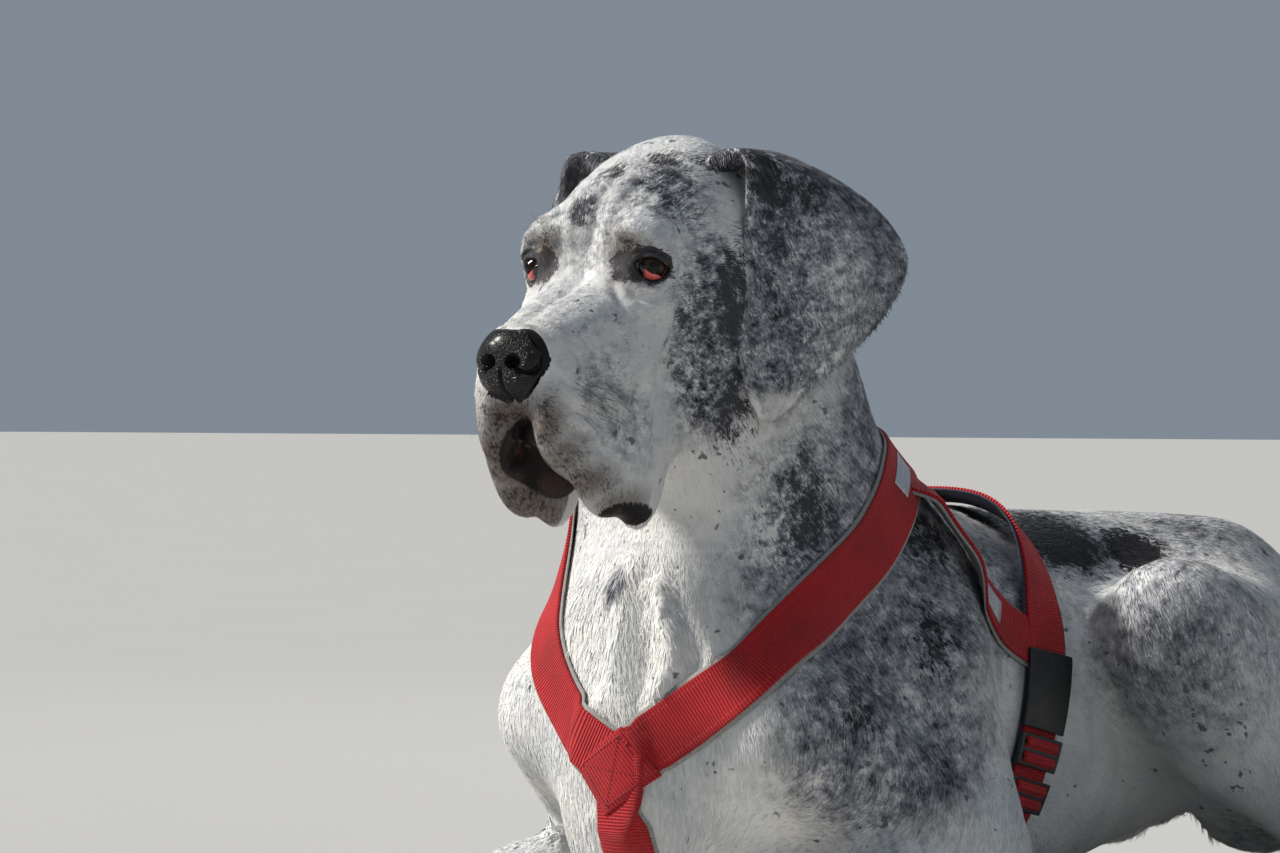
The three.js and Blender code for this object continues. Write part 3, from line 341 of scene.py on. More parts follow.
def flesh(p):
    """Distance to the whole body: each part where it can matter, and how softly it joins."""
    fore, hind = folded(p), folded(p, sway(p[:, 1]))
    parts = (
        (lambda q: blended(NECK, q), p, (-300, -360, 60), (300, 240, 760), 70),
        (lambda q: blended(FORELEG, q), fore, (-1, -330, -90), (330, 240, 460), 36),
        (lambda q: blended(FOREPAW, q), fore, (80, -400, -60), (280, -160, 130), 14),
        (lambda q: blended(HINDLEG, q), hind, (-1, 200, -90), (330, 720, 460), 40),
        (lambda q: blended(HINDPAW, q), hind, (90, 190, -60), (300, 420, 130), 14),
        (tail, p, (-60, 540, -60), (480, 980, 330), 30),
        (lambda q: head_form(to_head(q)), p, (-240, -480, 280), (260, 60, 760), 40),
    )
    d = trunk(p)
    for form, places, low, high, soft in parts:
        d = blend(d, within(form, places, low, high), soft)
    return d


def slope(p, step=0.6):
    """Distance to the flesh and the direction away from it, from four tries round the point."""
    corners = np.array([(1, -1, -1), (-1, -1, 1), (-1, 1, -1), (1, 1, 1)], float)
    tries = [flesh(p + corner * step) for corner in corners]
    away = sum(corner * value[:, None] for corner, value in zip(corners, tries)) / (4 * step)
    return sum(tries) / 4, away


def laid(p, lift, steps=4, limit=12):
    """Points drawn to a height over the flesh, at most so far in each step."""
    p = np.array(p, float)
    for _ in range(steps):
        d, away = slope(p)
        size = np.maximum((away * away).sum(1), 0.2)
        p -= away * np.clip((d - lift) / size, -limit, limit)[:, None]
    return p


# Folds and furrows of the skin: a line, its width and its height over the skin. Those of the head
# and the lone ones are in the head's frame, and all but the lone ones have a twin opposite.

HEAD_FOLDS = [
    ([(15, -38, 75), (17, -2, 50), (16, 10, 30), (14, 18, 6)], 6, 2.6),
    ([(22, 14, 22), (34, 15, 27), (46, 13, 28), (60, 4, 18), (71, -9, 3)], 6, 3.4),
    ([(36, 17, 14), (48, 17, 18), (60, 10, 13), (70, -2, 3)], 2.6, -1.8),
    ([(29, 20, -3), (34, 26, -14), (42, 32, -27), (48, 34, -40)], 5, -2.2),
    ([(42, 24, -14), (52, 21, -23), (64, 12, -25), (76, -5, -16)], 3.2, -2.6),
    ([(44, 28, -24), (56, 22, -32), (68, 8, -34), (78, -12, -24)], 5, 1.6),
    ([(57, -6, -70), (56, -9, -90), (56, -3, -120), (57, 1, -140)], 5, -4.5),
    ([(54, 8, -76), (53, 8, -98), (54, 12, -122), (54, 14, -146)], 7, 2.4),
    ([(60, -22, -76), (60, -26, -98), (62, -22, -124)], 8, 2),
    ([(39, 110, -106), (46, 92, -115), (50, 76, -117)], 2.8, -3.4),
    ([(39, 107, -127), (47, 89, -131), (52, 69, -130)], 2.8, -3.2),
    ([(33, 117, -86), (41, 102, -93), (47, 84, -95), (50, 66, -98)], 2.8, -3.4),
    ([(50, 78, -104), (52, 68, -108), (53, 60, -118)], 2.8, -2.4),
    ([(37, 114, -97), (46, 98, -105), (51, 80, -107)], 3, 2),
    ([(38, 110, -117), (48, 90, -124), (52, 72, -125)], 3, 2),
    ([(36, 108, -138), (46, 88, -142), (51, 70, -140)], 3.2, -2.4),
    ([(50, 52, -112), (53, 40, -128), (54, 34, -150)], 4, -1.6),
    ([(51, 26, -120), (54, 20, -146), (52, 20, -168)], 4, -1.4),
    ([(12, 22, -34), (10, 60, -46), (9, 98, -52)], 5, 0.9),
    ([(24, 30, -50), (22, 66, -62), (24, 98, -74)], 7, -1),
    ([(30, -52, 74), (42, -34, 58), (50, -22, 44)], 6, 1.3),
    ([(20, 8, 38), (30, 4, 46), (42, -4, 46)], 3, -1.2),
    ([(66, -60, -128), (58, -74, -158), (44, -88, -182), (22, -84, -200)], 8, -3),
]
LONE_FOLDS = [
    ([(3, -40, 78), (4, 0, 50), (4, 12, 30), (3, 18, 8)], 6, -4.2),
    ([(38, 11, -201), (24, -61, -266), (37, -55, -305), (31, -50, -332), (26, -52, -372)], 7, 9),
    ([(21, -82, -223), (35, -70, -262), (52, -66, -293), (57, -60, -318), (60, -52, -350)], 7, -7),
    ([(48, -92, -232), (57, -80, -271), (65, -70, -300), (70, -60, -340)], 7, 6),
    ([(72, -110, -225), (80, -96, -270), (84, -84, -305), (88, -74, -345)], 9, 4),
    ([(64, -104, -226), (72, -88, -270), (78, -76, -320)], 6, -3),
    ([(6, -66, -214), (8, -72, -262), (14, -62, -312), (10, -54, -360)], 8, -6),
    ([(-14, -62, -214), (-12, -72, -262), (-8, -66, -312), (-12, -58, -360)], 9, 6),
    ([(-36, -76, -226), (-34, -80, -272), (-32, -74, -320)], 8, -4.5),
    ([(-56, -84, -230), (-54, -88, -276), (-52, -80, -330)], 9, 4.5),
]
BODY_FOLDS = [
    ([(30, 46, 400), (72, 10, 380), (112, -30, 330), (128, -78, 262)], 14, 4),
    ([(62, 66, 402), (106, 62, 356), (140, 66, 296), (152, 84, 226)], 12, -4.5),
    ([(120, -84, 300), (146, -70, 250), (168, -50, 196)], 12, -3),
    ([(132, 94, 250), (150, 92, 190), (156, 100, 130)], 12, -4.5),
    ([(168, -20, 150), (182, -30, 110), (186, -10, 78)], 9, -3),
    ([(196, 60, 70), (205, 78, 46)], 12, 3),
    ([(86, 380, 346), (128, 352, 312), (160, 330, 270)], 10, -3.5),
    ([(108, 400, 300), (148, 388, 240), (168, 380, 190)], 12, 3.5),
    ([(96, 372, 130), (122, 330, 160), (140, 300, 200), (140, 268, 244)], 12, -6),
    ([(212, 330, 262), (222, 352, 220), (216, 372, 178)], 9, 3),
    ([(190, 440, 150), (182, 490, 106), (176, 530, 72)], 6, -3.5),
    ([(196, 452, 160), (190, 500, 112), (184, 540, 70)], 5, 2.5),
    ([(176, -130, 62), (180, -180, 50), (182, -220, 44)], 6, -2),
]
BODY_FOLDS += [
    ([(118, y, 312), (136, y + 16, 244), (134, y + 34, 172), (112, y + 52, 108)], 9, -1.6)
    for y in (128, 168, 208, 248, 286)
]


def fold_height(p):
    """Height that the folds add at each point."""
    h = to_head(p)
    total = np.zeros(len(p))
    both = (1, -1)
    for folds, points, signs in ((HEAD_FOLDS, h, both), (LONE_FOLDS, h, (1,)), (BODY_FOLDS, p, both)):
        for line, width, height in folds:
            line = np.array(line, float)
            for sign in signs:
                curve = spline(line * (sign, 1, 1), np.linspace(0, 1, 6 * len(line)))
                curve = laid(curve, 0) if points is p else to_head(laid(from_head(curve), 0))
                near = inside(points, curve.min(0) - 3 * width, curve.max(0) + 3 * width)
                if not len(near):
                    continue
                q = points[near]
                best = np.full(len(q), FAR)
                share = np.zeros(len(q))
                for i in range(len(curve) - 1):
                    a, b = curve[i], curve[i + 1]
                    t = np.clip((q - a) @ (b - a) / max((b - a) @ (b - a), 1e-6), 0, 1)
                    d = np.linalg.norm(q - a - t[:, None] * (b - a), axis=1)
                    closer = d < best
                    best = np.where(closer, d, best)
                    share = np.where(closer, (i + t) / (len(curve) - 1), share)
                ends = smooth(share, 0, 0.22) * (1 - smooth(share, 0.78, 1))
                total[near] += height * np.exp(-((best / width) ** 2)) * (0.15 + 0.85 * ends)
    return total * clear_of_straps(p, 22, 37)


def clear_of_straps(p, near, far):
    """0 under the harness, 1 away from it."""
    clear = np.ones(len(p))
    for line in strap_points:
        index = inside(p, line.min(0) - far, line.max(0) + far)
        if len(index):
            best = np.full(len(index), FAR)
            for point in line:
                best = np.minimum(best, ((p[index] - point) ** 2).sum(1))
            clear[index] = np.minimum(clear[index], smooth(np.sqrt(best), near, far))
    return clear


# The opening of the eye, aside and up from its middle

LIDS = [(-13.4, 1.2), (-9.6, 5.6), (-3.2, 6.6), (3.2, 5.2), (8.6, 2.2)]
LIDS += [(12.2, -2.2), (8.6, -7.6), (2.6, -10.6), (-3.4, -10.2), (-9.0, -6.6)]

# The dark hair round it

EYE_SHADE = [(-33, -14), (-34, 8), (-30, 27), (-18, 27), (0, 15)]
EYE_SHADE += [(12, 8.5), (15, -2), (10, -13), (0, -17), (-14, -17)]


def closed_curve(points, steps):
    q = np.array(points, float)
    n = len(q)
    at = np.linspace(0, n, steps, endpoint=False)
    i = at.astype(int)
    t = (at - i)[:, None]
    p0, p1, p2, p3 = (q[(i + k) % n] for k in (-1, 0, 1, 2))
    return hermite(p1, p2, (p2 - p0) / 2, (p3 - p1) / 2, t)


LID_LINE = closed_curve(LIDS, 60)
SHADE_LINE = closed_curve(EYE_SHADE, 40)


def outside_lids(u, v, line=LID_LINE):
    """Distance from the edge of the lids, or of another closed line, below 0 inside it."""
    p = np.stack([u, v], 1)
    best = np.full(len(p), FAR)
    within_line = np.zeros(len(p), bool)
    for a, b in zip(line, np.roll(line, -1, 0)):
        t = np.clip((p - a) @ (b - a) / ((b - a) @ (b - a)), 0, 1)
        best = np.minimum(best, np.linalg.norm(p - a - t[:, None] * (b - a), axis=1))
        crosses = (a[1] > v) != (b[1] > v)
        at = a[0] + (v - a[1]) / np.where(b[1] == a[1], 1e-9, b[1] - a[1]) * (b[0] - a[0])
        within_line ^= crosses & (u < at)
    return np.where(within_line, -best, best)


def eye_frame(h):
    """Aside, up and ahead of the nearer eye's middle, with the far side mirrored."""
    q = folded(h) - EYE_AT
    return q @ EYE_ASIDE, q @ EYE_UP, q @ EYE_AHEAD


def from_eye(u, v, w, sign):
    q = EYE_AT + u[:, None] * EYE_ASIDE + v[:, None] * EYE_UP + w[:, None] * EYE_AHEAD
    q[:, 0] *= sign
    return from_head(q)


def open_lids(p, radius):
    """Lids laid over the eyeball, and the skin inside their edge drawn behind it."""
    h = to_head(p)
    u, v, w = eye_frame(h)
    near = np.flatnonzero((np.hypot(u, v) < 30) & (w > 0) & (np.abs(h[:, 0]) > 20))
    u, v, w = u[near], v[near], w[near]
    out = outside_lids(u, v)
    far = np.hypot(u, v)
    ball_front = np.sqrt(np.maximum((radius + 1.3) ** 2 - far**2, 49))
    lid = ball_front + 0.9 * smooth(out, 0, 2.5)
    over = smooth(v, -3, 3)
    upper = 0.9 * hump(out, 3.0, 1.9) - 1.4 * hump(out, 6.6, 1.6)
    lower = 0.4 * hump(out, 2.4, 1.4) - 0.8 * hump(out, 5.2, 1.4)
    lid = lid + upper * over
    lid = lid + lower * (1 - over)
    edge = smooth(out, 1.0, 11)
    wanted = lid * (1 - edge) + w * edge
    hidden = np.sqrt(np.maximum((radius - 2.2) ** 2 - far**2, 4))
    wanted = np.where(out < 0, hidden + (wanted - hidden) * smooth(out, -0.9, 0), wanted)
    p = p.copy()
    p[near] = from_eye(u, v, wanted, np.sign(h[near, 0]))
    return p


# Markings, some of them partly painted shade on the face: each patch has a middle, radii and a strength. The
# head's are in its own frame.

HEAD_DARK = [
    ((-9, 4, 42), (9, 15, 17), 0.7),
    ((-3, -33, 75), (12, 20, 13), 0.6),
    ((54, -30, 44), (16, 28, 18), 0.5),
    ((29, -59, 82), (18, 24, 13), 0.58),
    ((46, -92, 84), (14, 18, 12), 0.62),
    # These two patches in front of and below the ear's front edge are partly dark hair and partly the ear's
    # painted shadow on the cheek.
    ((86, -76, -24), (16, 30, 50), 0.7),
    ((74, -84, -96), (16, 22, 52), 0.62),
    ((40, 16, 2), (9, 9, 14), 0.8),
    # Partly dark hair and partly painted shade on the cheek behind and below the eye.
    ((72, -26, -50), (16, 26, 44), 0.46),
    ((-58, -30, 30), (20, 34, 26), 0.72),
    ((-72, -70, -40), (22, 40, 44), 0.8),
    ((-38, 58, -62), (14, 26, 24), 0.6),
    ((-30, -98, 84), (20, 22, 14), 0.66),
    ((32, 62, -58), (9, 14, 10), 0.5),
    ((-14, 96, -52), (9, 13, 9), 0.6),
    ((0, -150, 60), (34, 26, 40), 0.7),
]
BODY_DARK = [
    ((84, 300, 342), (44, 48, 30), 1),
    ((108, 386, 330), (26, 30, 26), 1),
    ((56, 240, 368), (26, 30, 18), 0.9),
    ((128, 40, 346), (16, 40, 26), 0.66),
    ((112, -100, 372), (16, 30, 44), 0.64),
    ((158, 4, 270), (16, 22, 40), 0.58),
    ((164, -110, 214), (18, 26, 26), 0.55),
    ((-104, -10, 330), (46, 52, 52), 1),
    ((-128, 170, 250), (30, 56, 44), 1),
    ((-96, 300, 330), (40, 44, 36), 1),
    ((-100, 470, 300), (50, 46, 46), 1),
    ((-8, 560, 320), (46, 44, 40), 0.95),
    ((-190, 380, 200), (30, 30, 30), 0.9),
    ((128, 520, 250), (36, 40, 30), 0.85),
    ((-176, -30, 90), (30, 40, 24), 0.9),
    ((186, 470, 130), (24, 30, 22), 0.8),
    ((90, 700, 100), (34, 36, 44), 1),
    ((220, 860, 10), (40, 30, 30), 1),
    ((0, 130, 402), (40, 30, 24), 0.8),
    ((-70, -60, 460), (36, 44, 44), 0.95),
    ((60, 60, 420), (26, 40, 22), 0.85),
]
LIP_PIGMENT = [
    ((0, 122, -118), (28, 26, 24), 1),
    ((-22, 100, -150), (30, 40, 44), 1),
    ((-24, 66, -184), (30, 44, 22), 1),
    ((28, 122, -122), (14, 16, 22), 0.95),
    ((34, 104, -146), (14, 20, 18), 0.9),
    ((41, 84, -166), (17, 28, 14), 0.95),
    ((-24, 30, -196), (28, 40, 22), 1),
    ((50, 40, -184), (15, 40, 12), 0.8),
    ((4, 100, -54), (20, 18, 8), 0.45),
]
INNER_LIP = [
    ((-23, 22, -170), (16, 30, 12), 0.8),
    ((-26, 60, -186), (20, 34, 11), 1),
    ((18, 92, -146), (8, 12, 7), 1),
]
HEAD_GREY = [
    ((0, -30, 30), (90, 110, 80), 0.5),
    ((0, 30, -60), (80, 120, 90), 0.44),
    # Partly grey hair and partly painted shade on the near side of the muzzle.
    ((50, 74, -84), (16, 52, 46), 0.52),
    ((46, 40, -120), (26, 60, 54), 0.5),
    # Partly grey hair and partly painted shade on the near cheek.
    ((70, -54, -60), (26, 44, 90), 0.85),
    ((40, -40, 56), (34, 60, 34), 0.7),
    ((-46, -40, 20), (34, 60, 50), 0.8),
    ((-40, 50, -70), (26, 60, 46), 0.7),
    ((-18, -63, -251), (10, 14, 17), 0.85),
]
BODY_GREY = [
    ((130, -20, 330), (66, 150, 120), 1),
    ((165, -70, 200), (60, 120, 80), 0.9),
    ((60, 20, 440), (90, 110, 70), 0.95),
    ((60, -96, 486), (60, 60, 80), 0.66),
    ((-80, -20, 400), (70, 120, 120), 0.9),
    ((-120, 200, 260), (50, 150, 90), 0.75),
    ((110, 160, 300), (60, 110, 80), 0.62),
    ((206, 310, 262), (80, 120, 100), 0.62),
    ((100, 480, 320), (90, 120, 70), 0.6),
    ((-100, 480, 250), (90, 120, 110), 0.8),
    ((90, 300, 350), (90, 110, 60), 0.66),
    ((150, 520, 120), (70, 80, 70), 0.6),
    ((100, 720, 100), (60, 60, 90), 0.8),
]


def patches(h, p, of_head, of_body):
    """How far each point is inside the patches, 1 at the middle of a strong one."""
    best = np.zeros(len(p))
    for listed, points in ((of_head, h), (of_body, p)):
        for middle, radii, strength in listed:
            far = np.linalg.norm((points - middle) / radii, axis=1)
            best = np.maximum(best, strength * np.clip(1.4 - 0.8 * far, 0, 1))
    return best


def leather(p, h):
    """Bare dark skin: lips, edges of the lids, rim of the nose, and the pads."""
    on_head = p[:, 2] > HEAD_ABOVE
    near_mouth = np.full(len(p), FAR)
    if on_head.any():
        near_mouth[on_head] = blended(MOUTH, h[on_head])
    lips = 1 - smooth(near_mouth, 2.0, 7.0)
    u, v, w = eye_frame(h)
    lids = np.zeros(len(p))
    near = np.flatnonzero((np.hypot(u, v) < 26) & (w > 0) & on_head)
    if len(near):
        lids[near] = 1 - smooth(outside_lids(u[near], v[near]), 0.5, 2.0)
    rim = 1 - smooth(np.linalg.norm((h - (0, 131, -75)) / (34, 27, 31), axis=1), 0.98, 1.05)
    rim = np.where((h[:, 2] > -110 + 0.03 * h[:, 0] ** 2) & (h[:, 2] < -50), rim, 0)
    hanging = 1 - smooth(np.linalg.norm((h - (46, 26, -193)) / (17, 40, 11), axis=1), 0.8, 1.1)
    wet = np.maximum(rim, hanging)
    return np.maximum(np.maximum(lips, lids), np.where(on_head, wet, 0))


def markings_and_shade(p):
    """Share of black, of mottled grey, of bare skin, and of tan at each point; some black and grey on the face
    is painted shade.
    """
    h = to_head(p)
    bare = leather(p, h)
    dark = patches(h, p, HEAD_DARK, BODY_DARK)
    grey = patches(h, p, HEAD_GREY, BODY_GREY)
    tan = np.zeros(len(p))
    u, v, w = eye_frame(h)
    near = np.flatnonzero((np.hypot(u, v) < 50) & (w > -14) & (p[:, 2] > 400))
    if len(near):
        shade = 1 - smooth(outside_lids(u[near], v[near], SHADE_LINE), -12, 8)
        rim = 1 - smooth(np.hypot(u[near], v[near]), 12, 19)
        # Painted shade: the corner term darkens the eye's inner corner for the shadow of its deep pocket.
        corner = 1 - smooth(np.hypot((u[near] + 17) / 1.3, v[near] + 1), 4, 17)
        dark[near] = np.maximum(dark[near], np.minimum(0.56 * shade + 0.5 * np.maximum(rim, corner), 1))
        tan[near] = 0.85 * shade * (1 - 0.9 * np.maximum(rim, 0.8 * corner))
    face = np.flatnonzero((h[:, 1] > 0) & (p[:, 2] > 350))
    if len(face):
        lips = 1 - smooth(blended(MOUTH, h[face]), 6, 22)
        front = patches(h[face], p[face], LIP_PIGMENT, [])
        # Painted shade: the muzzle's pleats are darkened along their grooves.
        groove = smooth(-fold_height(p[face]), 0.9, 2.6) * (h[face][:, 1] > 44)
        share = np.maximum(0.9 * lips, front)
        dark[face] = np.maximum(np.maximum(dark[face], 0.44 * share), 0.62 * groove)
        grey[face] = np.where(bare[face] > 0.3, patches(h[face], p[face], INNER_LIP, []), grey[face])
        tan[face] = np.maximum(tan[face], 0.92 * share)
    return np.stack([dark, grey, bare, tan], 1)


def hair_values(p, shade, chance):
    """How shaded the hair is at each point, its chance of being dark, 0, and how fine its mottle is."""
    fineness = smooth(to_head(p)[:, 1], -210, -120) * (p[:, 2] > HEAD_ABOVE)
    none = np.zeros(len(p))
    return np.stack([none + shade, none + chance, none, fineness], 1)


# How the coat lies: the way it points at places on the body

HEAD_FLOW = [
    ((0, 118, -46), (0, -1, 0.3)),
    ((0, 60, -30), (0, -1, 0.35)),
    ((0, 10, 20), (0, -0.6, 0.9)),
    ((0, -50, 80), (0, -1, 0.1)),
    ((46, 80, -90), (0.1, -0.8, -0.5)),
    ((50, 30, -60), (0.2, -1, -0.1)),
    ((52, 30, -130), (0, -0.5, -0.9)),
    ((50, 12, 26), (0.5, -0.6, 0.7)),
    ((78, -20, 0), (0.3, -1, 0.1)),
    ((70, -60, -60), (0.1, -0.9, -0.5)),
    ((60, -90, -120), (0, -0.6, -0.8)),
    ((0, 30, -150), (0, -0.9, -0.3)),
    ((0, -90, -180), (0, -0.3, -1)),
    ((50, -130, 60), (0.2, -1, -0.3)),
]
BODY_FLOW = [
    ((0, -200, 300), (0, 0, -1)),
    ((0, -220, 200), (0, 0.3, -1)),
    ((90, -140, 420), (0.1, 0.5, -0.9)),
    ((90, -60, 480), (0.1, 0.9, -0.6)),
    ((0, 0, 520), (0, 1, -0.5)),
    ((110, -60, 340), (0.1, 0.6, -0.9)),
    ((120, 60, 330), (0.1, 0.9, -0.6)),
    ((0, 120, 400), (0, 1, 0)),
    ((130, 160, 240), (0, 1, -0.35)),
    ((60, 300, 370), (0, 1, 0)),
    ((120, 260, 180), (0, 1, -0.3)),
    ((90, 380, 150), (0, 0.9, 0.2)),
    ((150, -60, 200), (0.2, 0.3, -1)),
    ((160, 60, 150), (0.1, 0.3, -1)),
    ((195, 40, 60), (0, -1, -0.3)),
    ((180, -90, 70), (0, -1, -0.15)),
    ((180, -220, 50), (0, -1, -0.1)),
    ((181, -300, 40), (0, -1, -0.4)),
    ((60, 480, 360), (0, 1, -0.1)),
    ((150, 420, 320), (0.4, 0.2, -0.7)),
    ((200, 320, 300), (0.5, -0.4, -0.7)),
    ((225, 330, 240), (0.1, 0.4, -1)),
    ((215, 400, 170), (0, 0.8, -0.7)),
    ((190, 490, 100), (0, 0.8, -0.7)),
    ((120, 560, 250), (0.1, 0.5, -0.9)),
    ((120, 560, 120), (0.1, -0.2, -1)),
    ((180, 450, 40), (0.1, -1, -0.1)),
    ((198, 300, 40), (0, -1, -0.3)),
    ((75, 640, 220), (0, 0.5, -0.9)),
    ((90, 700, 100), (0.1, 0.5, -0.9)),
    ((150, 800, 20), (0.6, 0.8, 0)),
    ((290, 884, 10), (1, 0.1, 0)),
    ((360, 880, 8), (1, 0, 0)),
]


def flow_at(p):
    """The way the coat points at each place, not yet laid flat."""
    total = np.zeros((len(p), 3))
    for listed, points, reach in ((HEAD_FLOW, to_head(p), 34.0), (BODY_FLOW, p, 66.0)):
        for place, way in listed:
            for sign in (1, -1):
                if sign < 0 and (place[0] == 0 or place[0] > 280):
                    continue
                d = points - np.array(place, float) * (sign, 1, 1)
                weight = np.exp(-(d * d).sum(1) / (2 * reach * reach)) + 1e-9
                lie = np.array(way, float) * (sign, 1, 1)
                total += weight[:, None] * unit(lie if points is p else turned(lie))
    return total


# Small helps for meshes


def pick(*objects):
    """Only these objects selected, the last one active, in object mode."""
    if bpy.context.object and bpy.context.object.mode != "OBJECT":
        bpy.ops.object.mode_set(mode="OBJECT")
    bpy.ops.object.select_all(action="DESELECT")
    for piece in objects:
        piece.hide_viewport = False
        piece.select_set(True)
    bpy.context.view_layer.objects.active = objects[-1] if objects else None


def read(values, key, wide=3, kind=float):
    """One property of all vertices, faces or the like, a row for each."""
    out = np.empty(wide * len(values), kind)
    values.foreach_get(key, out)
    return out.reshape(-1, wide)


def corners_of(piece):
    return read(piece.data.vertices, "co")


def place_corners(piece, points):
    piece.data.vertices.foreach_set("co", np.ascontiguousarray(points, dtype=np.float32).ravel())
    piece.data.update()


def to_dog(co):
    return co / MM + OFFSET


def to_frame(p):
    return (p - OFFSET) * MM


def named(name):
    piece = bpy.context.object
    piece.name = name
    piece.data.name = name
    return piece


def modified(piece, kind, **settings):
    """Adds a modifier and applies it."""
    pick(piece)
    bpy.ops.object.modifier_add(type=kind)
    modifier = piece.modifiers[-1]
    for key, value in settings.items():
        setattr(modifier, key, value)
    bpy.ops.object.modifier_apply(modifier=modifier.name)
    return piece


def bevelled(piece, width, segments=2):
    sharp = math.radians(50)
    return modified(piece, "BEVEL", width=width, segments=segments, limit_method="ANGLE", angle_limit=sharp)


@contextmanager
def editing(chosen=None):
    """The active piece in edit mode, with all of it selected, or only the faces chosen."""
    bpy.ops.object.mode_set(mode="EDIT")
    if chosen is None:
        bpy.ops.mesh.select_all(action="SELECT")
    else:
        bpy.ops.mesh.select_mode(type="FACE")
        bpy.ops.mesh.select_all(action="DESELECT")
        bpy.ops.object.mode_set(mode="OBJECT")
        bpy.context.object.data.polygons.foreach_set("select", chosen)
        bpy.ops.object.mode_set(mode="EDIT")
    yield
    bpy.ops.object.mode_set(mode="OBJECT")


def put_attribute(piece, name, values):
    """One value, or the four of a colour, for each corner."""
    values = np.asarray(values, np.float32)
    kind, key = ("FLOAT", "value") if values.ndim == 1 else ("FLOAT_COLOR", "color")
    piece.data.attributes.new(name, kind, "POINT").data.foreach_set(key, values.ravel())


def grid(name, columns, rows, place):
    """A grid whose corners are placed by their two shares, 0 to 1."""
    bpy.ops.mesh.primitive_grid_add(x_subdivisions=columns, y_subdivisions=rows, size=1)
    piece = named(name)
    shares = corners_of(piece)[:, :2] + 0.5
    place_corners(piece, to_frame(place(shares)))
    return piece, shares


def face_out(piece, outward, first=None):
    """Turns a sheet's faces so that they look the given way, or only its first ones do."""
    if (read(piece.data.polygons, "normal")[:first] * outward).sum() < 0:
        pick(piece)
        with editing():
            bpy.ops.mesh.flip_normals()


def map_in_metres(piece, place):
    """Names a sheet's own map, and places it by its shares, in metres across and along."""
    layer = piece.data.uv_layers.active
    layer.name = "weave"
    layer.data.foreach_set("uv", place(read(layer.data, "uv", 2)).ravel())


def joined(name, pieces):
    pick(*pieces)
    if len(pieces) > 1:
        bpy.ops.object.join()
    return named(name)


def finish_piece(piece, material, nodes=(), flat=False):
    """Gives a piece its finish and the nodes that it stands for."""
    piece.data.materials.clear()
    piece.data.materials.append(material)
    pick(piece)
    bpy.ops.object.shade_flat() if flat else bpy.ops.object.shade_smooth()
    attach(piece, "root")
    if nodes:
        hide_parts(*nodes)
    pick()


# Materials


def tinted(shade, times, plus=0.0):
    """A colour made darker or lighter."""
    return tuple(min(1, times * c + plus) for c in shade)


class Finish:
    """The nodes of one material, wired to its shader."""

    def __init__(self, name, **sockets):
        self.material = bpy.data.materials.get(name) or bpy.data.materials.new(name)
        self.material.use_nodes = True
        tree = self.material.node_tree
        tree.nodes.clear()
        self.nodes, self.links = tree.nodes, tree.links
        self.shader = self.nodes.new("ShaderNodeBsdfPrincipled")
        output = self.nodes.new("ShaderNodeOutputMaterial")
        self.links.new(self.shader.outputs[0], output.inputs[0])
        self.set(**sockets)

    def feed(self, socket, value):
        if isinstance(value, bpy.types.NodeSocket):
            self.links.new(value, socket)
        elif hasattr(socket.default_value, "__len__") and len(socket.default_value) == 4:
            socket.default_value = (*value[:3], 1)
        else:
            socket.default_value = value

    def node(self, kind, inputs=None, **settings):
        node = self.nodes.new("ShaderNode" + kind)
        for key, value in settings.items():
            setattr(node, key, value)
        for key, value in (inputs or {}).items():
            self.feed(node.inputs[key], value)
        return node

    def place(self, scale=(1, 1, 1), uv=None):
        source = self.node("UVMap", uv_map=uv).outputs[0] if uv else self.node("TexCoord").outputs["Object"]
        return self.node("Mapping", {"Vector": source, "Scale": scale}).outputs[0]

    def noise(self, where, scale, detail=3.0, rough=0.55):
        inputs = {"Vector": where, "Scale": scale, "Detail": detail, "Roughness": rough}
        return self.node("TexNoise", inputs).outputs["Fac"]

    def cells(self, where, scale, feature="F1"):
        return self.node("TexVoronoi", {"Vector": where, "Scale": scale}, feature=feature).outputs["Distance"]

    def math(self, kind, a, b=0.0):
        return self.node("Math", {0: a, 1: b}, operation=kind).outputs[0]

    def plus(self, a, b):
        return self.math("ADD", a, b)

    def minus(self, a, b):
        return self.math("SUBTRACT", a, b)

    def times(self, a, b):
        return self.math("MULTIPLY", a, b)

    def wave(self, value, length):
        return self.math("SINE", self.times(value, 2 * math.pi / length))

    def steps(self, value, low, high, bottom=0.0, top=1.0):
        inputs = {"Value": value, "From Min": low, "From Max": high, "To Min": bottom, "To Max": top}
        return self.node("MapRange", inputs, interpolation_type="SMOOTHSTEP").outputs[0]

    def ramp(self, value, *stops):
        node = self.node("ValToRGB", {"Fac": value})
        elements = node.color_ramp.elements
        for i, (at, colour) in enumerate(stops):
            element = elements[i] if i < 2 else elements.new(at)
            element.position = at
            element.color = (*colour[:3], 1)
        return node.outputs[0]

    def mix(self, share, a, b, kind="MIX"):
        node = self.node("Mix", data_type="RGBA", blend_type=kind)
        for index, value in ((0, share), (6, a), (7, b)):
            self.feed(node.inputs[index], value)
        return node.outputs[2]

    def parts(self, attribute):
        """The four values of a colour attribute."""
        node = self.node("Attribute", attribute_name=attribute)
        split = self.node("SeparateColor", {0: node.outputs["Color"]})
        return [*split.outputs[:3], node.outputs["Alpha"]]

    def bump(self, height, distance, strength=1.0, after=None):
        inputs = {"Height": height, "Distance": distance, "Strength": strength}
        if after is not None:
            inputs["Normal"] = after
        return self.node("Bump", inputs).outputs[0]

    def set(self, **sockets):
        for key, value in sockets.items():
            self.feed(self.shader.inputs[key.replace("_", " ")], value)
        return self.material


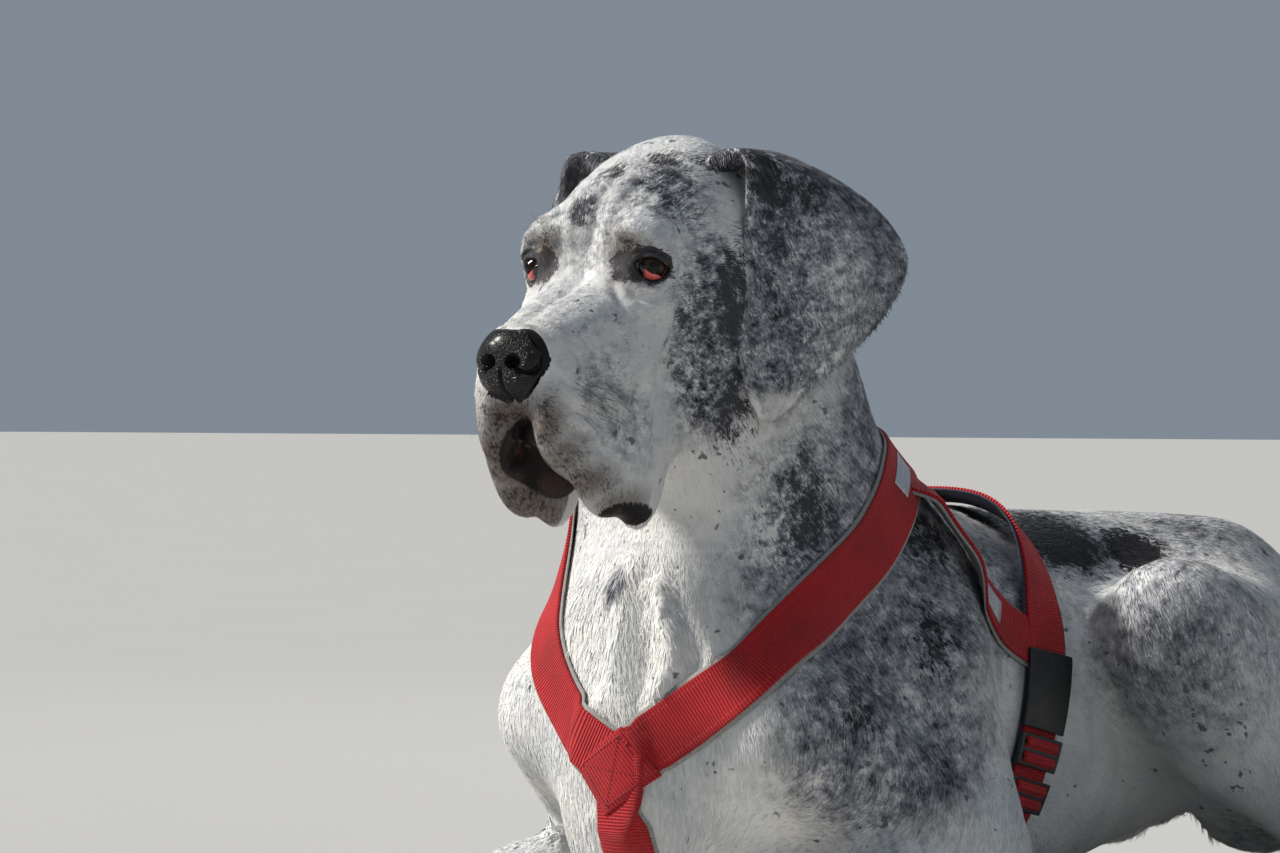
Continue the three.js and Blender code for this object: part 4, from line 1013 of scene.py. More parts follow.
def coat_finish(name, colours, skin=False):
    """White hair, torn black patches, mottled grey and flecks, and dark skin at lips and lids."""
    f = Finish(name, Specular_IOR_Level=0.2)
    place = f.place()
    dark, grey, bare, tan = f.parts("marks_and_shade")
    shade, chance, _, fineness = f.parts("hair")
    chance = f.minus(chance, 0.5)
    torn = f.noise(place, 70, 6, 0.68)
    fine = f.noise(place, 260, 3, 0.6)
    ragged = f.times(f.minus(torn, 0.5), 1.25)
    frayed = f.times(f.minus(fine, 0.5), 0.5)
    mixed = f.plus(f.plus(dark, ragged), f.plus(frayed, f.times(chance, 0.62)))
    black = f.steps(mixed, 0.44, 0.60)
    broad = f.noise(f.place((1, 0.6, 0.8)), 96, 7, 0.74)
    small = f.noise(f.place((1, 0.5, 0.8)), 170, 6, 0.7)
    mottle = f.mix(fineness, broad, small)
    clouds = f.noise(place, 17, 3, 0.5)
    blotch = f.plus(f.times(mottle, 0.74), f.times(clouds, 0.26))
    blotch = f.plus(blotch, f.times(chance, 0.15))
    greys = (colours.black, colours.slate, colours.ash, colours.white)
    of_body = f.ramp(blotch, *zip((0.35, 0.42, 0.53, 0.66), greys))
    of_head = f.ramp(blotch, *zip((0.37, 0.43, 0.50, 0.58), greys))
    mottled = f.mix(fineness, of_body, of_head)
    faint = f.mix(f.steps(clouds, 0.35, 0.7), colours.white, colours.shaded)
    greyness = f.steps(f.plus(grey, f.times(ragged, 0.5)), 0.25, 0.72)
    colour = f.mix(greyness, faint, mottled)
    specks = f.noise(f.place((1, 0.6, 0.8)), 118, 2, 0.5)
    flecks = f.plus(specks, f.times(f.noise(place, 21, 2, 0.5), 0.35))
    ticked = f.steps(f.plus(flecks, f.times(grey, 0.05)), 0.875, 0.93, 0, 0.85)
    colour = f.mix(ticked, colour, colours.slate)
    warm = f.mix(f.steps(fine, 0.4, 0.6), colours.tan, colours.umber)
    colour = f.mix(f.times(tan, 0.9), colour, warm)
    dense = f.mix(f.times(fineness, 0.4), colours.black, colours.slate)
    colour = f.mix(black, colour, f.mix(tan, dense, colours.umber))
    worn = f.math("MAXIMUM", f.steps(torn, 0.54, 0.70), f.steps(grey, 0.5, 1.0))
    lip = f.mix(worn, colours.lip, colours.lip_light)
    colour = f.mix(f.steps(bare, 0.35, 0.65), colour, lip)
    colour = f.mix(f.times(shade, 0.32), colour, colours.shadow, "MULTIPLY")
    f.set(Base_Color=colour)
    f.set(Roughness=f.steps(bare, 0.35, 0.65, 0.58, 0.44))
    hair = f.noise(f.place((1, 0.3, 0.55)), 900, 2, 0.6)
    pores = f.noise(place, 1500, 2, 0.5)
    bump = f.bump(f.plus(hair, f.times(pores, 0.5)), 0.0006, 0.55)
    if skin:
        bump = f.bump(f.noise(place, 160, 4, 0.6), 0.0010, 0.22, bump)
    return f.set(Normal=bump)


class Run:
    """A line laid over the dog, which places points by their share of it, across it and above."""

    def __init__(self, line):
        self.line = line
        fine = evenly(line, np.linspace(0, 1, 200))
        self.long = np.linalg.norm(np.diff(fine, axis=0), axis=1).sum()

    def frames(self, share):
        middle = laid(evenly(self.line, share), STRAP_LIFT)
        ahead = unit(evenly(self.line, share + 0.004) - evenly(self.line, share - 0.004))
        out = unit(slope(middle)[1])
        return middle, ahead, out, unit(np.cross(out, ahead))

    def at(self, share, across, lift, floor=STRAP_CLEAR):
        shares, index = np.unique(np.round(share, 5), return_inverse=True)
        middle, ahead, out, side = self.frames(shares)
        p = middle[index] + side[index] * across[:, None]
        on = laid(p, STRAP_LIFT, 3)
        away = unit(slope(on)[1])
        p = on + away * (np.zeros(len(p)) + lift - STRAP_LIFT)[:, None]
        p[:, 2] = np.maximum(p[:, 2], floor)
        return p

    def outward(self, share):
        return self.frames(np.atleast_1d(share))[2][0]


# The lines of the straps: the neck's from the breast to the withers, the girth's from the back
# to under the breast

NECK_LEFT = [(14, -219, 172), (38, -212, 189), (70, -192, 215), (107, -172, 246)]
NECK_LEFT += [(122, -129, 281), (128, -75, 317), (130, -38, 342), (125, -3, 371)]
NECK_LEFT += [(107, 34, 399), (70, 78, 418), (32, 98, 425), (0, 102, 427)]
NECK_RIGHT = [(14, -219, 172), (-15, -218, 190), (-46, -205, 213), (-70, -191, 239)]
NECK_RIGHT += [(-88, -174, 268), (-100, -150, 300), (-104, -118, 345), (-96, -66, 384)]
NECK_RIGHT += [(-74, 10, 408), (-36, 86, 424), (0, 102, 427)]
STERNUM_LINE = [(14, -214, 182), (14, -220, 145), (13, -204, 90), (10, -165, 30)]
STERNUM_LINE += [(7, -110, 6), (3, 0, 4), (0, 120, 4), (0, 166, 4)]
DORSAL_LINE = [(0, 96, 428), (0, 140, 405), (0, 180, 388), (0, 226, 376)]
GIRTH_LINE = [(0, 226, 376), (62, 224, 356), (101, 220, 325), (126, 214, 284), (135, 208, 251), (138, 201, 218)]
GIRTH_LINE += [(137, 194, 185), (130, 185, 143), (118, 176, 100), (82, 168, 42), (40, 166, 12), (0, 166, 4)]
SIDE_LINE = [(102, 44, 398), (124, 84, 345), (130, 126, 303), (133, 164, 272), (136, 208, 251)]


def mirrored(line, sign=-1):
    return [(sign * x, y, z) for x, y, z in line]


# Each strap's name, its line, its width and how many rows of faces lie along it

STRAPS = [
    ("neck_left", NECK_LEFT, 46, 76),
    ("neck_right", NECK_RIGHT, 46, 76),
    ("girth_left", GIRTH_LINE, 46, 72),
    ("girth_right", mirrored(GIRTH_LINE), 46, 72),
    ("sternum", STERNUM_LINE, 46, 48),
    ("dorsal", DORSAL_LINE, 46, 24),
    ("side_left", SIDE_LINE, 40, 34),
    ("side_right", mirrored(SIDE_LINE), 40, 34),
]
strap_points = [laid(evenly(line, np.linspace(0, 1, 64)), STRAP_LIFT) for _, line, _, _ in STRAPS]


# Sizes and colours


def length(name, description, default):
    return bpy.props.FloatProperty(
        name=name, description=description, default=default, min=0, unit="LENGTH", precision=4
    )


def colour(name, description, default):
    return bpy.props.FloatVectorProperty(
        name=name, description=description, default=default, size=3, min=0, max=1, subtype="COLOR"
    )


class DaneSizes(bpy.types.PropertyGroup):
    skin_cell: length("Skin cell", "Size of a face of the body's skin", 0.0081)
    skin_depth: length("Coat depth", "How far the skin lies under the coat's surface", 0.0012)
    face_depth: length("Face coat depth", "How far the skin of the face lies under the coat's surface", 0.0008)
    eye_radius: length("Eye radius", "Radius of the eyeball", 0.0125)
    hair_length: length("Hair length", "Length of a tuft on the body", 0.0095)
    hair_width: length("Hair width", "Width of a tuft on the body", 0.0013)
    hair_count: bpy.props.IntProperty(
        name="Tufts", description="Tufts of the body's coat", default=330000, min=1000, max=350000
    )
    webbing_thick: length("Webbing thickness", "Thickness of the straps", 0.003)
    lining_over: length("Lining over", "How far the felt lining stands out beside the webbing", 0.0032)
    lining_thick: length("Lining thickness", "Thickness of the felt lining", 0.0013)


class DaneColours(bpy.types.PropertyGroup):
    white: colour("White coat", "The coat where it is white", (0.80, 0.79, 0.76))
    shaded: colour("Pale grey coat", "The white coat where it is faintly grey", (0.66, 0.67, 0.68))
    # Ash and slate carry a faint blue tint that paints the blue of shade into the mottled grey.
    ash: colour("Ash", "Light parts of the mottled coat", (0.31, 0.32, 0.35))
    slate: colour("Slate", "Dark parts of the mottled coat", (0.105, 0.11, 0.13))
    umber: colour("Umber", "Dark hair round the eyes and at the lips", (0.040, 0.026, 0.020))
    black: colour("Black", "Torn patches of the coat", (0.016, 0.015, 0.018))
    tan: colour("Tan", "Warm tint round the eyes and the lips", (0.16, 0.10, 0.07))
    shadow: colour("Hair shadow", "Tint of a darker tuft", (0.42, 0.41, 0.42))
    lip: colour("Lip", "Bare skin of lips and lids", (0.008, 0.006, 0.006))
    lip_light: colour("Lip, worn", "Lighter bare skin", (0.105, 0.045, 0.028))
    haw: colour("Haw", "Lining of the lower lid", (0.50, 0.05, 0.045))
    iris: colour("Iris", "Iris of the eye", (0.020, 0.008, 0.004))
    webbing: colour("Webbing", "Straps of the harness", (0.56, 0.006, 0.012))
    felt: colour("Felt", "Lining of the straps", (0.20, 0.19, 0.18))
    navy: colour("Navy felt", "Lining of the girth", (0.010, 0.010, 0.030))
    plastic: colour("Plastic", "Sliders and pads", (0.012, 0.012, 0.014))
    floor: colour("Floor", "Plain floor under the dog", (0.45, 0.445, 0.43))


class DanePiece:
    """What the operators share."""

    bl_options = {"REGISTER", "UNDO"}

    @property
    def sizes(self):
        return bpy.context.scene.dane_sizes

    @property
    def colours(self):
        return bpy.context.scene.dane_colours


class DANE_OT_skin(DanePiece, bpy.types.Operator):
    """One skin over the whole body, with its folds, lids and lips"""

    bl_idname = "dane.skin"
    bl_label = "Skin"

    def subdivide(self, skin, chosen):
        pick(skin)
        with editing(chosen(to_dog(read(skin.data.polygons, "center")))):
            bpy.ops.mesh.subdivide(number_cuts=1)

    def on_flesh(self, skin, steps):
        """Draws the skin to its depth under the coat's surface."""
        p = to_dog(corners_of(skin))
        p = laid(p, -self.depth(p), steps, 5)
        place_corners(skin, to_frame(p))
        return p

    def depth(self, p):
        h = to_head(p)
        face = smooth(h[:, 1], -70, -20) * (p[:, 2] > HEAD_ABOVE)
        return (self.sizes.skin_depth + (self.sizes.face_depth - self.sizes.skin_depth) * face) / MM

    def execute(self, context):
        copies = []
        pick()
        for name in [*FLESH_NODES, "nose", "eye_left", "eye_right"]:
            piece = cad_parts[name].copy()
            piece.data = piece.data.copy()
            piece.parent = None
            for key in list(piece.keys()):
                del piece[key]
            context.scene.collection.objects.link(piece)
            copies.append(piece)
        skin = joined("skin", copies)
        with editing():
            bpy.ops.mesh.remove_doubles(threshold=0.00002)
        p = to_dog(corners_of(skin))
        proud = flesh(p) > 1.2
        p[proud] = laid(p[proud], 0)
        place_corners(skin, to_frame(p))
        skin.data.remesh_voxel_size = self.sizes.skin_cell
        bpy.ops.object.voxel_remesh()
        bpy.ops.object.mode_set(mode="EDIT")
        bpy.ops.mesh.separate(type="LOOSE")
        bpy.ops.object.mode_set(mode="OBJECT")
        loose = sorted(bpy.context.selected_objects, key=lambda piece: len(piece.data.vertices))
        skin = loose.pop()
        for piece in loose:
            bpy.data.objects.remove(piece)
        pick(skin)
        skin = named("skin")
        self.on_flesh(skin, 3)

        def head_and_paws(q):
            h = to_head(q)
            head = (np.abs(h[:, 0]) < 105) & (h[:, 1] > -120) & (h[:, 2] > -215)
            aside = np.abs(q[:, 0])
            fore = (aside > 120) & (q[:, 1] < -205) & (q[:, 2] < 100)
            hind = (np.abs(q[:, 0] - sway(q[:, 1])) > 140) & (np.abs(q[:, 1] - 292) < 58) & (q[:, 2] < 84)
            return head | fore | hind

        def face(q):
            h = to_head(q)
            return (h[:, 1] > -14) & (h[:, 2] > -194) & (q[:, 2] > FACE_ABOVE) & (np.abs(h[:, 0]) < 82)

        def round_eyes(reach):
            def chosen(q):
                u, v, w = eye_frame(to_head(q))
                return (np.hypot(u, v) < reach) & (w > 0) & (w < 34)

            return chosen

        self.subdivide(skin, head_and_paws)
        self.on_flesh(skin, 2)
        self.subdivide(skin, face)
        self.on_flesh(skin, 2)
        self.subdivide(skin, round_eyes(20))
        self.subdivide(skin, round_eyes(15))
        p = self.on_flesh(skin, 2)
        away = unit(slope(p)[1])
        h = to_head(p)
        behind = 1 - smooth(np.linalg.norm((h - (0, 133, -76)) / (31, 27, 27), axis=1), 0.78, 1.0)
        p = p + away * (fold_height(p) - 14 * behind * (p[:, 2] > 400))[:, None]
        p = open_lids(p, self.sizes.eye_radius / MM)
        p[:, 2] = np.maximum(p[:, 2], 0.3)
        place_corners(skin, to_frame(p))
        put_attribute(skin, "marks_and_shade", markings_and_shade(p))
        put_attribute(skin, "hair", hair_values(p, 0.35, 0.5))
        finish_piece(skin, coat_finish("skin_and_coat", self.colours, skin=True), FLESH_NODES)
        return {"FINISHED"}


class DANE_OT_eyes(DanePiece, bpy.types.Operator):
    """Eyeballs with a domed cornea, and the red lining of the lower lids"""

    bl_idname = "dane.eyes"
    bl_label = "Eyes"

    def eyeball(self, side, sign, material):
        bpy.ops.mesh.primitive_uv_sphere_add(segments=64, ring_count=48, radius=1)
        eye = named(f"eyeball_{side}")
        q = corners_of(eye)
        radius = self.sizes.eye_radius / MM
        out = np.hypot(q[:, 0], q[:, 1])
        dome = 1.1 * (1 - smooth(out, 0.30, 0.60)) * (q[:, 2] > 0)
        w = q[:, 2] * radius + dome
        p = from_eye(q[:, 0] * radius, q[:, 1] * radius, w, sign)
        place_corners(eye, to_frame(p))
        put_attribute(eye, "ring", np.where(q[:, 2] > 0, out, 1))
        pick(eye)
        with editing():
            bpy.ops.mesh.normals_make_consistent(inside=False)
        finish_piece(eye, material, [f"eye_{side}"])

    def haw(self, name, sign, material):
        radius = self.sizes.eye_radius / MM
        low = LID_LINE[LID_LINE[:, 1] < -1.2]
        low = low[np.argsort(low[:, 0])]

        def place(shares):
            u = -13.2 + 22.0 * shares[:, 0]
            bottom = np.interp(u, low[:, 0], low[:, 1]) - 1.4
            top = np.where(u < -6.8, -2.1 - 1.35 * (u + 6.8), -2.1 - 0.45 * (u + 6.8))
            v = bottom + (np.maximum(top, bottom + 0.8) - bottom) * shares[:, 1]
            w = np.sqrt(np.maximum((radius + 0.55) ** 2 - u * u - v * v, 40))
            w += 0.5 * np.sin(shares[:, 1] * math.pi) - 0.5 * shares[:, 1] ** 6
            return from_eye(u, v, w, sign)

        piece, _ = grid(name, 44, 14, place)
        face_out(piece, turned(EYE_AHEAD * (sign, 1, 1)))
        modified(piece, "SOLIDIFY", thickness=0.0007, offset=-1)
        u, v, _ = eye_frame(to_head(to_dog(corners_of(piece))))
        put_attribute(piece, "dark", 1 - smooth(u, -8.2, -5.8))
        finish_piece(piece, material)

    def execute(self, context):
        eye = Finish("eye_finish", Roughness=0.05, Coat_Weight=0.2, Coat_Roughness=0.02)
        eye.set(Specular_IOR_Level=0.15)
        ring = eye.node("Attribute", attribute_name="ring").outputs["Fac"]
        streaks = eye.noise(eye.place(), 900, 4, 0.7)
        iris = tinted(self.colours.iris, 0.5)
        brown = eye.mix(eye.steps(streaks, 0.35, 0.7), iris, (0.022, 0.009, 0.004))
        pupil = eye.mix(eye.steps(ring, 0.28, 0.36), (0.002, 0.002, 0.003), brown)
        rimmed = eye.mix(eye.steps(ring, 0.50, 0.62), pupil, (0.006, 0.003, 0.002))
        white = eye.mix(eye.steps(streaks, 0.4, 0.6), (0.16, 0.10, 0.08), (0.22, 0.07, 0.05))
        eye.set(Base_Color=eye.mix(eye.steps(ring, 0.74, 0.90), rimmed, white))
        red = Finish("haw_finish", Roughness=0.16, Coat_Weight=0.8, Coat_Roughness=0.08, Subsurface_Weight=0.15)
        red.set(Subsurface_Radius=(0.004, 0.001, 0.0006))
        veins = red.noise(red.place((1, 1, 2.4)), 620, 4, 0.65)
        haw = self.colours.haw
        moist = red.mix(red.steps(veins, 0.35, 0.65), haw, tinted(haw, 1.5, 0.06))
        pigment = red.node("Attribute", attribute_name="dark").outputs["Fac"]
        red.set(Base_Color=red.mix(pigment, moist, self.colours.lip))
        red.set(Normal=red.bump(veins, 0.0004, 0.5))
        for side, sign in SIDES:
            self.eyeball(side, sign, eye.material)
            self.haw(f"haw_{side}", sign, red.material)
        return {"FINISHED"}


# The nose, in the head's frame: its middle, the block that it fills and how that is rounded, a
# nostril and the wing beside it with their radii, and the slit's line from the nostril, aside and up

NOSE_FROM = np.array([0.0, 112.0, -76.0])
NOSE_BLOCK = (30.0, 29.5, 27.0)
NOSE_ROUND = 2.7
NOSTRIL = ((10.8, 139, -75), (6.8, 12, 6.4))
WING = ((21.5, 136, -73.5), (8, 14, 7.5))
SLIT = [(14, -80.5), (18, -83.6), (23, -83.4), (28, -79.5), (30.5, -74), (31, -68)]


class DANE_OT_nose(DanePiece, bpy.types.Operator):
    """Nose leather with its nostrils, side slits and the groove between them"""

    bl_idname = "dane.nose"
    bl_label = "Nose"

    def execute(self, context):
        bpy.ops.mesh.primitive_uv_sphere_add(segments=160, ring_count=120, radius=1)
        nose = named("nose_leather")
        turn = unit(corners_of(nose))
        ways = np.stack([turn[:, 0], turn[:, 2], turn[:, 1]], 1)
        far = np.full(len(ways), 8.0)
        for _ in range(24):
            far += 0.7 * np.clip(-head_form(NOSE_FROM + ways * far[:, None]), -3, 6)
            far = np.clip(far, 2, 52)
        block = (np.abs(ways / NOSE_BLOCK) ** NOSE_ROUND).sum(1) ** (-1 / NOSE_ROUND)
        h = NOSE_FROM + ways * far[:, None]
        ahead = smooth(ways[:, 1], -0.1, 0.25)
        far = far + ahead * (np.maximum(far + 0.5, np.minimum(block, far + 5.0)) - far)
        top = -49.0 - 18.0 * smooth(np.abs(h[:, 0]), 12, 31)
        low = -109.0 + 0.030 * h[:, 0] ** 2
        out = np.maximum(smooth(h[:, 2] - top, -3.0, 4.0), smooth(low - h[:, 2], -3.0, 4.0))
        beyond = np.linalg.norm((h - (0, 131, -74)) / (35, 29, 34), axis=1)
        out = np.maximum(out, smooth(beyond, 0.98, 1.2))
        far = far - 6.0 * out - np.where(ways[:, 1] < 0, 6.0, 0)
        h = NOSE_FROM + ways * np.maximum(far, 1.0)[:, None]
        front = ways[:, 1] > 0
        slit = spline(np.array([(x, 0, z) for x, z in SLIT]), np.linspace(0, 1, 40))[:, (0, 2)]
        for _, sign in SIDES:
            hole, wing = (
                np.linalg.norm((h - np.array(middle) * (sign, 1, 1)) / radii, axis=1)
                for middle, radii in (NOSTRIL, WING)
            )
            flat = h[:, (0, 2)] * (sign, 1)
            away = np.linalg.norm(flat[:, None] - slit[None], axis=2)
            share = away.argmin(1) / len(slit)
            h = h + ways * (1.8 * (1 - smooth(wing, 0.1, 1.1)) * front)[:, None]
            slot = (6.5 - 3.5 * share) * (1 - smooth(away.min(1), 0.7, 2.7))
            cut = np.maximum(11.0 * (1 - smooth(hole, 0.5, 1.08)), slot)
            h = h - unit(ways) * (cut * front)[:, None]
        groove = hump(h[:, 0], 0, 1.3) * smooth(-h[:, 2], 74, 86) * front
        h = h - ways * (2.8 * groove)[:, None]
        place_corners(nose, to_frame(from_head(h)))
        with editing():
            bpy.ops.mesh.normals_make_consistent(inside=False)
        f = Finish("nose_finish", Specular_IOR_Level=0.3, Coat_Weight=0.12, Coat_Roughness=0.2)
        place = f.place()
        pebbles = f.cells(place, 480, "DISTANCE_TO_EDGE")
        cloudy = f.noise(place, 90, 4, 0.6)
        f.set(Base_Color=f.mix(f.steps(cloudy, 0.4, 0.7), (0.006, 0.006, 0.007), (0.016, 0.014, 0.015)))
        f.set(Roughness=f.steps(cloudy, 0.35, 0.7, 0.26, 0.46))
        f.set(Normal=f.bump(f.steps(pebbles, 0.0, 0.3), 0.0009, 1.0))
        finish_piece(nose, f.material, ["nose"])
        return {"FINISHED"}


# The ear's leaf from its root to its tip: front edge, rear edge, bulge and thickness

EAR_ROWS = [
    ((34, -84, 62), (34, -146, 66), 0, 16),
    ((56, -94, 86), (58, -160, 88), 5, 14),
    ((76, -98, 88), (98, -184, 76), 10, 9),
    ((80, -96, 52), (138, -214, 46), 15, 6),
    ((80, -90, 14), (160, -222, 8), 18, 5),
    ((81, -84, -26), (156, -206, -26), 17, 5),
    ((82, -80, -62), (136, -173, -66), 13, 5),
    ((88, -82, -94), (115, -135, -98), 8, 5),
    ((95, -94, -119), (100, -108, -121), 2, 4),
]
EAR_OUTWARD = np.array([0.82, 0.57, 0.0])


def ear_sheet(u, v):
    """The middle of the ear's leaf in the head's frame, u from its front to its rear edge, v down."""
    front = spline([row[0] for row in EAR_ROWS], v)
    rear = spline([row[1] for row in EAR_ROWS], v)
    rows = np.linspace(0, 1, len(EAR_ROWS))
    out = np.interp(v, rows, [row[2] for row in EAR_ROWS]) * 4 * u * (1 - u)
    body = smooth(v, 0.16, 0.3) * (1 - smooth(v, 0.78, 0.98))
    out = out - 6.5 * hump(u - 0.24, 0.1 * v, 0.13) * body
    out = out + 3.6 * hump(u, 0.03, 0.07) * body
    out = out + 3.0 * hump(u, 0.55, 0.16) * body - 2.4 * hump(u, 0.80, 0.09) * body
    out = out + 1.2 * np.sin(9 * v + 5 * u) * u * body
    return front + (rear - front) * u[:, None] + EAR_OUTWARD * out[:, None]


class DANE_OT_ears(DanePiece, bpy.types.Operator):
    """Hanging ears, thick at the root, with a rolled front rim and a trough behind it"""

    bl_idname = "dane.ears"
    bl_label = "Ears"

    def execute(self, context):
        rows = np.linspace(0, 1, len(EAR_ROWS))
        for side, sign in SIDES:
            place = lambda s: from_head(ear_sheet(s[:, 0], 1 - s[:, 1]) * (sign, 1, 1))
            ear, shares = grid(f"ear_leaf_{side}", 40, 60, place)
            face_out(ear, turned(EAR_OUTWARD * (sign, 1, 1)))
            thick = np.interp(1 - shares[:, 1], rows, [row[3] for row in EAR_ROWS])
            edge = np.minimum.reduce([shares[:, 0], 1 - shares[:, 0], shares[:, 1]])
            thick = thick * (0.42 + 0.58 * smooth(edge, 0, 0.07))
            group = ear.vertex_groups.new(name="thick")
            for i, value in enumerate(thick / EAR_ROWS[0][3]):
                group.add([i], float(value), "REPLACE")
            root = EAR_ROWS[0][3] * MM
            leaf = dict(vertex_group="thick", use_rim=True, use_even_offset=False)
            modified(ear, "SOLIDIFY", thickness=root, offset=0, **leaf)
            modified(ear, "SUBSURF", levels=1, render_levels=1)
            ear.vertex_groups.clear()
            p = to_dog(corners_of(ear))
            put_attribute(ear, "marks_and_shade", ear_marks_and_shade(p))
            put_attribute(ear, "hair", hair_values(p, 0.4, 0.5))
            finish_piece(ear, bpy.data.materials["skin_and_coat"], [f"ear_{side}"])
        return {"FINISHED"}


def ear_marks_and_shade(p):
    """The ears are charcoal, mottled white towards their rear edge and tip, with painted shade in the trough
    behind the front rim.
    """
    h = to_head(p)
    dark = 0.19 - 0.08 * smooth(-h[:, 1], 140, 215) + 0.30 * smooth(h[:, 2], 20, 70)
    # Painted shade: the band just behind the front rim, in the ear's upper half, is darkened for the shade in
    # its trough; the lower ear is made lighter.
    dark = dark + 0.20 * hump(h[:, 1], -108, 15) * smooth(h[:, 2], -60, 0) - 0.22 * smooth(-h[:, 2], 60, 118)
    front = np.interp(h[:, 2], [-121, -94, -62, -26, 14, 52, 88], [-94, -82, -80, -84, -90, -96, -98])
    rim = (1 - smooth(np.abs(h[:, 1] - front), 0.5, 3.0)) * (h[:, 2] < 56)
    tip = smooth(-h[:, 2] - 0.35 * np.abs(h[:, 1] + 110), 74, 104)
    dark = dark - 0.15 * rim - 0.4 * tip
    dark = dark - 0.25 * smooth(-h[:, 1] - 0.45 * h[:, 2], 196, 225) * (h[:, 2] < 0)
    grey = 0.88 - 0.45 * tip - 0.2 * rim
    none = np.zeros(len(p))
    return np.stack([np.clip(dark, 0, 1), grey, none, none], 1)


class DANE_OT_claws(DanePiece, bpy.types.Operator):
    """Curved dark claws, four to a paw"""

    bl_idname = "dane.claws"
    bl_label = "Claws"

    def claw(self, x, y, z, s):
        bpy.ops.mesh.primitive_cone_add(vertices=12, radius1=1, radius2=0.12, depth=2)
        piece = bpy.context.object
        with editing():
            bpy.ops.mesh.subdivide(number_cuts=3)
        q = corners_of(piece)
        along = (q[:, 2] + 1) / 2
        wide = 4.6 * s * (1 - 0.55 * along**1.6)
        cone = np.maximum(1 - 0.88 * along, 0.12)[:, None]
        ring = unit(q[:, :2]) * np.minimum(np.linalg.norm(q[:, :2], axis=1, keepdims=True) / cone, 1)
        aside = x + ring[:, 0] * wide * 0.72
        back = y + 6 * s - 24 * s * along * 0.86 + ring[:, 1] * wide * 0.35
        up = z + 3.5 * s - 11.5 * s * along**2.1 + ring[:, 1] * wide
        place_corners(piece, to_frame(np.stack([aside, back, np.maximum(up, 0.4)], 1)))
        return piece

    def execute(self, context):
        horn = Finish("claw_finish", Specular_IOR_Level=0.5)
        place = horn.place((1, 0.4, 1))
        grain = horn.noise(place, 420, 4, 0.6)
        dark, pale = (0.035, 0.030, 0.028), (0.17, 0.145, 0.125)
        horn.set(Base_Color=horn.mix(horn.steps(grain, 0.35, 0.7), dark, pale))
        horn.set(Roughness=horn.steps(grain, 0.3, 0.7, 0.30, 0.5), Normal=horn.bump(grain, 0.0004, 0.5))
        for name, (x, y, s), middle in (("fore", FOREPAW_AT, 0.0), ("hind", HINDPAW_AT, sway(HINDPAW_AT[1]))):
            for side, sign in SIDES:
                claws = [
                    self.claw(middle + sign * (x + aside * s), y - (ahead + 12) * s, 16 * s, s)
                    for aside, ahead, _ in TOES
                ]
                piece = joined(f"claws_{name}_{side}", claws)
                with editing():
                    bpy.ops.mesh.normals_make_consistent(inside=False)
                finish_piece(piece, horn.material)
        return {"FINISHED"}


def solid_mesh(name, points, faces):
    """A mesh from corners and triangles."""
    mesh = bpy.data.meshes.new(name)
    mesh.vertices.add(len(points))
    mesh.vertices.foreach_set("co", np.ascontiguousarray(points, dtype=np.float32).ravel())
    mesh.loops.add(faces.size)
    mesh.loops.foreach_set("vertex_index", faces.astype(np.int32).ravel())
    mesh.polygons.add(len(faces))
    mesh.polygons.foreach_set("loop_start", np.arange(0, faces.size, 3, dtype=np.int32))
    mesh.update(calc_edges=True)
    piece = bpy.data.objects.new(name, mesh)
    bpy.context.scene.collection.objects.link(piece)
    return piece


class DANE_OT_whiskers(DanePiece, bpy.types.Operator):
    """Thin whiskers on the muzzle, the brows and the cheeks"""

    bl_idname = "dane.whiskers"
    bl_label = "Whiskers"

    def execute(self, context):
        rng = np.random.default_rng(7)
        rows = [(44, 98 - 9 * i, -92 - 8 * j, 0.75) for j in range(4) for i in range(5)]
        rows += [(44, 12, 32, 0.5), (52, 10, 30, 0.5), (48, 14, 27, 0.4)]
        rows += [(62, -30, -96, 0.6), (60, -36, -100, 0.5)]
        points, faces = [], []
        for x, y, z, size in rows:
            for _, sign in SIDES:
                x_at, y_at = sign * (x + rng.uniform(-1, 1)), y + rng.uniform(-3, 3)
                root = laid(from_head([(x_at, y_at, z + rng.uniform(-3, 3))]), -1.5)[0]
                out = unit(slope(root[None])[1])[0]
                back = unit(flow_at(root[None]))[0] * rng.uniform(0.5, 0.9)
                way = unit(out * 0.75 + back + np.array([0, 0, rng.uniform(-0.5, 0.1)]))
                long = rng.uniform(22, 40) * size
                ends = np.linspace(0, 1, 6)
                bend = np.array([0, 0.02, -0.10]) * (long * ends**2)[:, None]
                spine = root + way * (long * ends)[:, None] + bend
                aside = unit(np.cross(way, (0, 0, 1)))
                high = np.cross(aside, way)
                radius = 0.34 * (1 - 0.8 * ends)
                first = sum(len(part) for part in points)
                ring = [
                    spine + (aside * math.cos(a) + high * math.sin(a)) * radius[:, None]
                    for a in (0, 2.094, 4.189)
                ]
                points.append(np.stack(ring, 1).reshape(-1, 3))
                for i in range(5):
                    for k in range(3):
                        a, b = first + 3 * i + k, first + 3 * i + (k + 1) % 3
                        faces += [(a, b, b + 3), (a, b + 3, a + 3)]
                faces += [(first, first + 2, first + 1), (first + 15, first + 16, first + 17)]
        piece = solid_mesh("whiskers", to_frame(np.concatenate(points)), np.array(faces))
        f = Finish("whisker_finish", Roughness=0.4)
        f.set(Base_Color=f.mix(f.noise(f.place(), 60, 2), (0.03, 0.03, 0.03), (0.35, 0.34, 0.33)))
        finish_piece(piece, f.material)
        return {"FINISHED"}


# The weave of the webbing, in metres: a rib, a yarn, a stitch, and the stitched line's distance
# from the middle

RIB = 0.0026
YARN = 0.0014
STITCH = 0.0042
STITCHED_AT = 0.0175


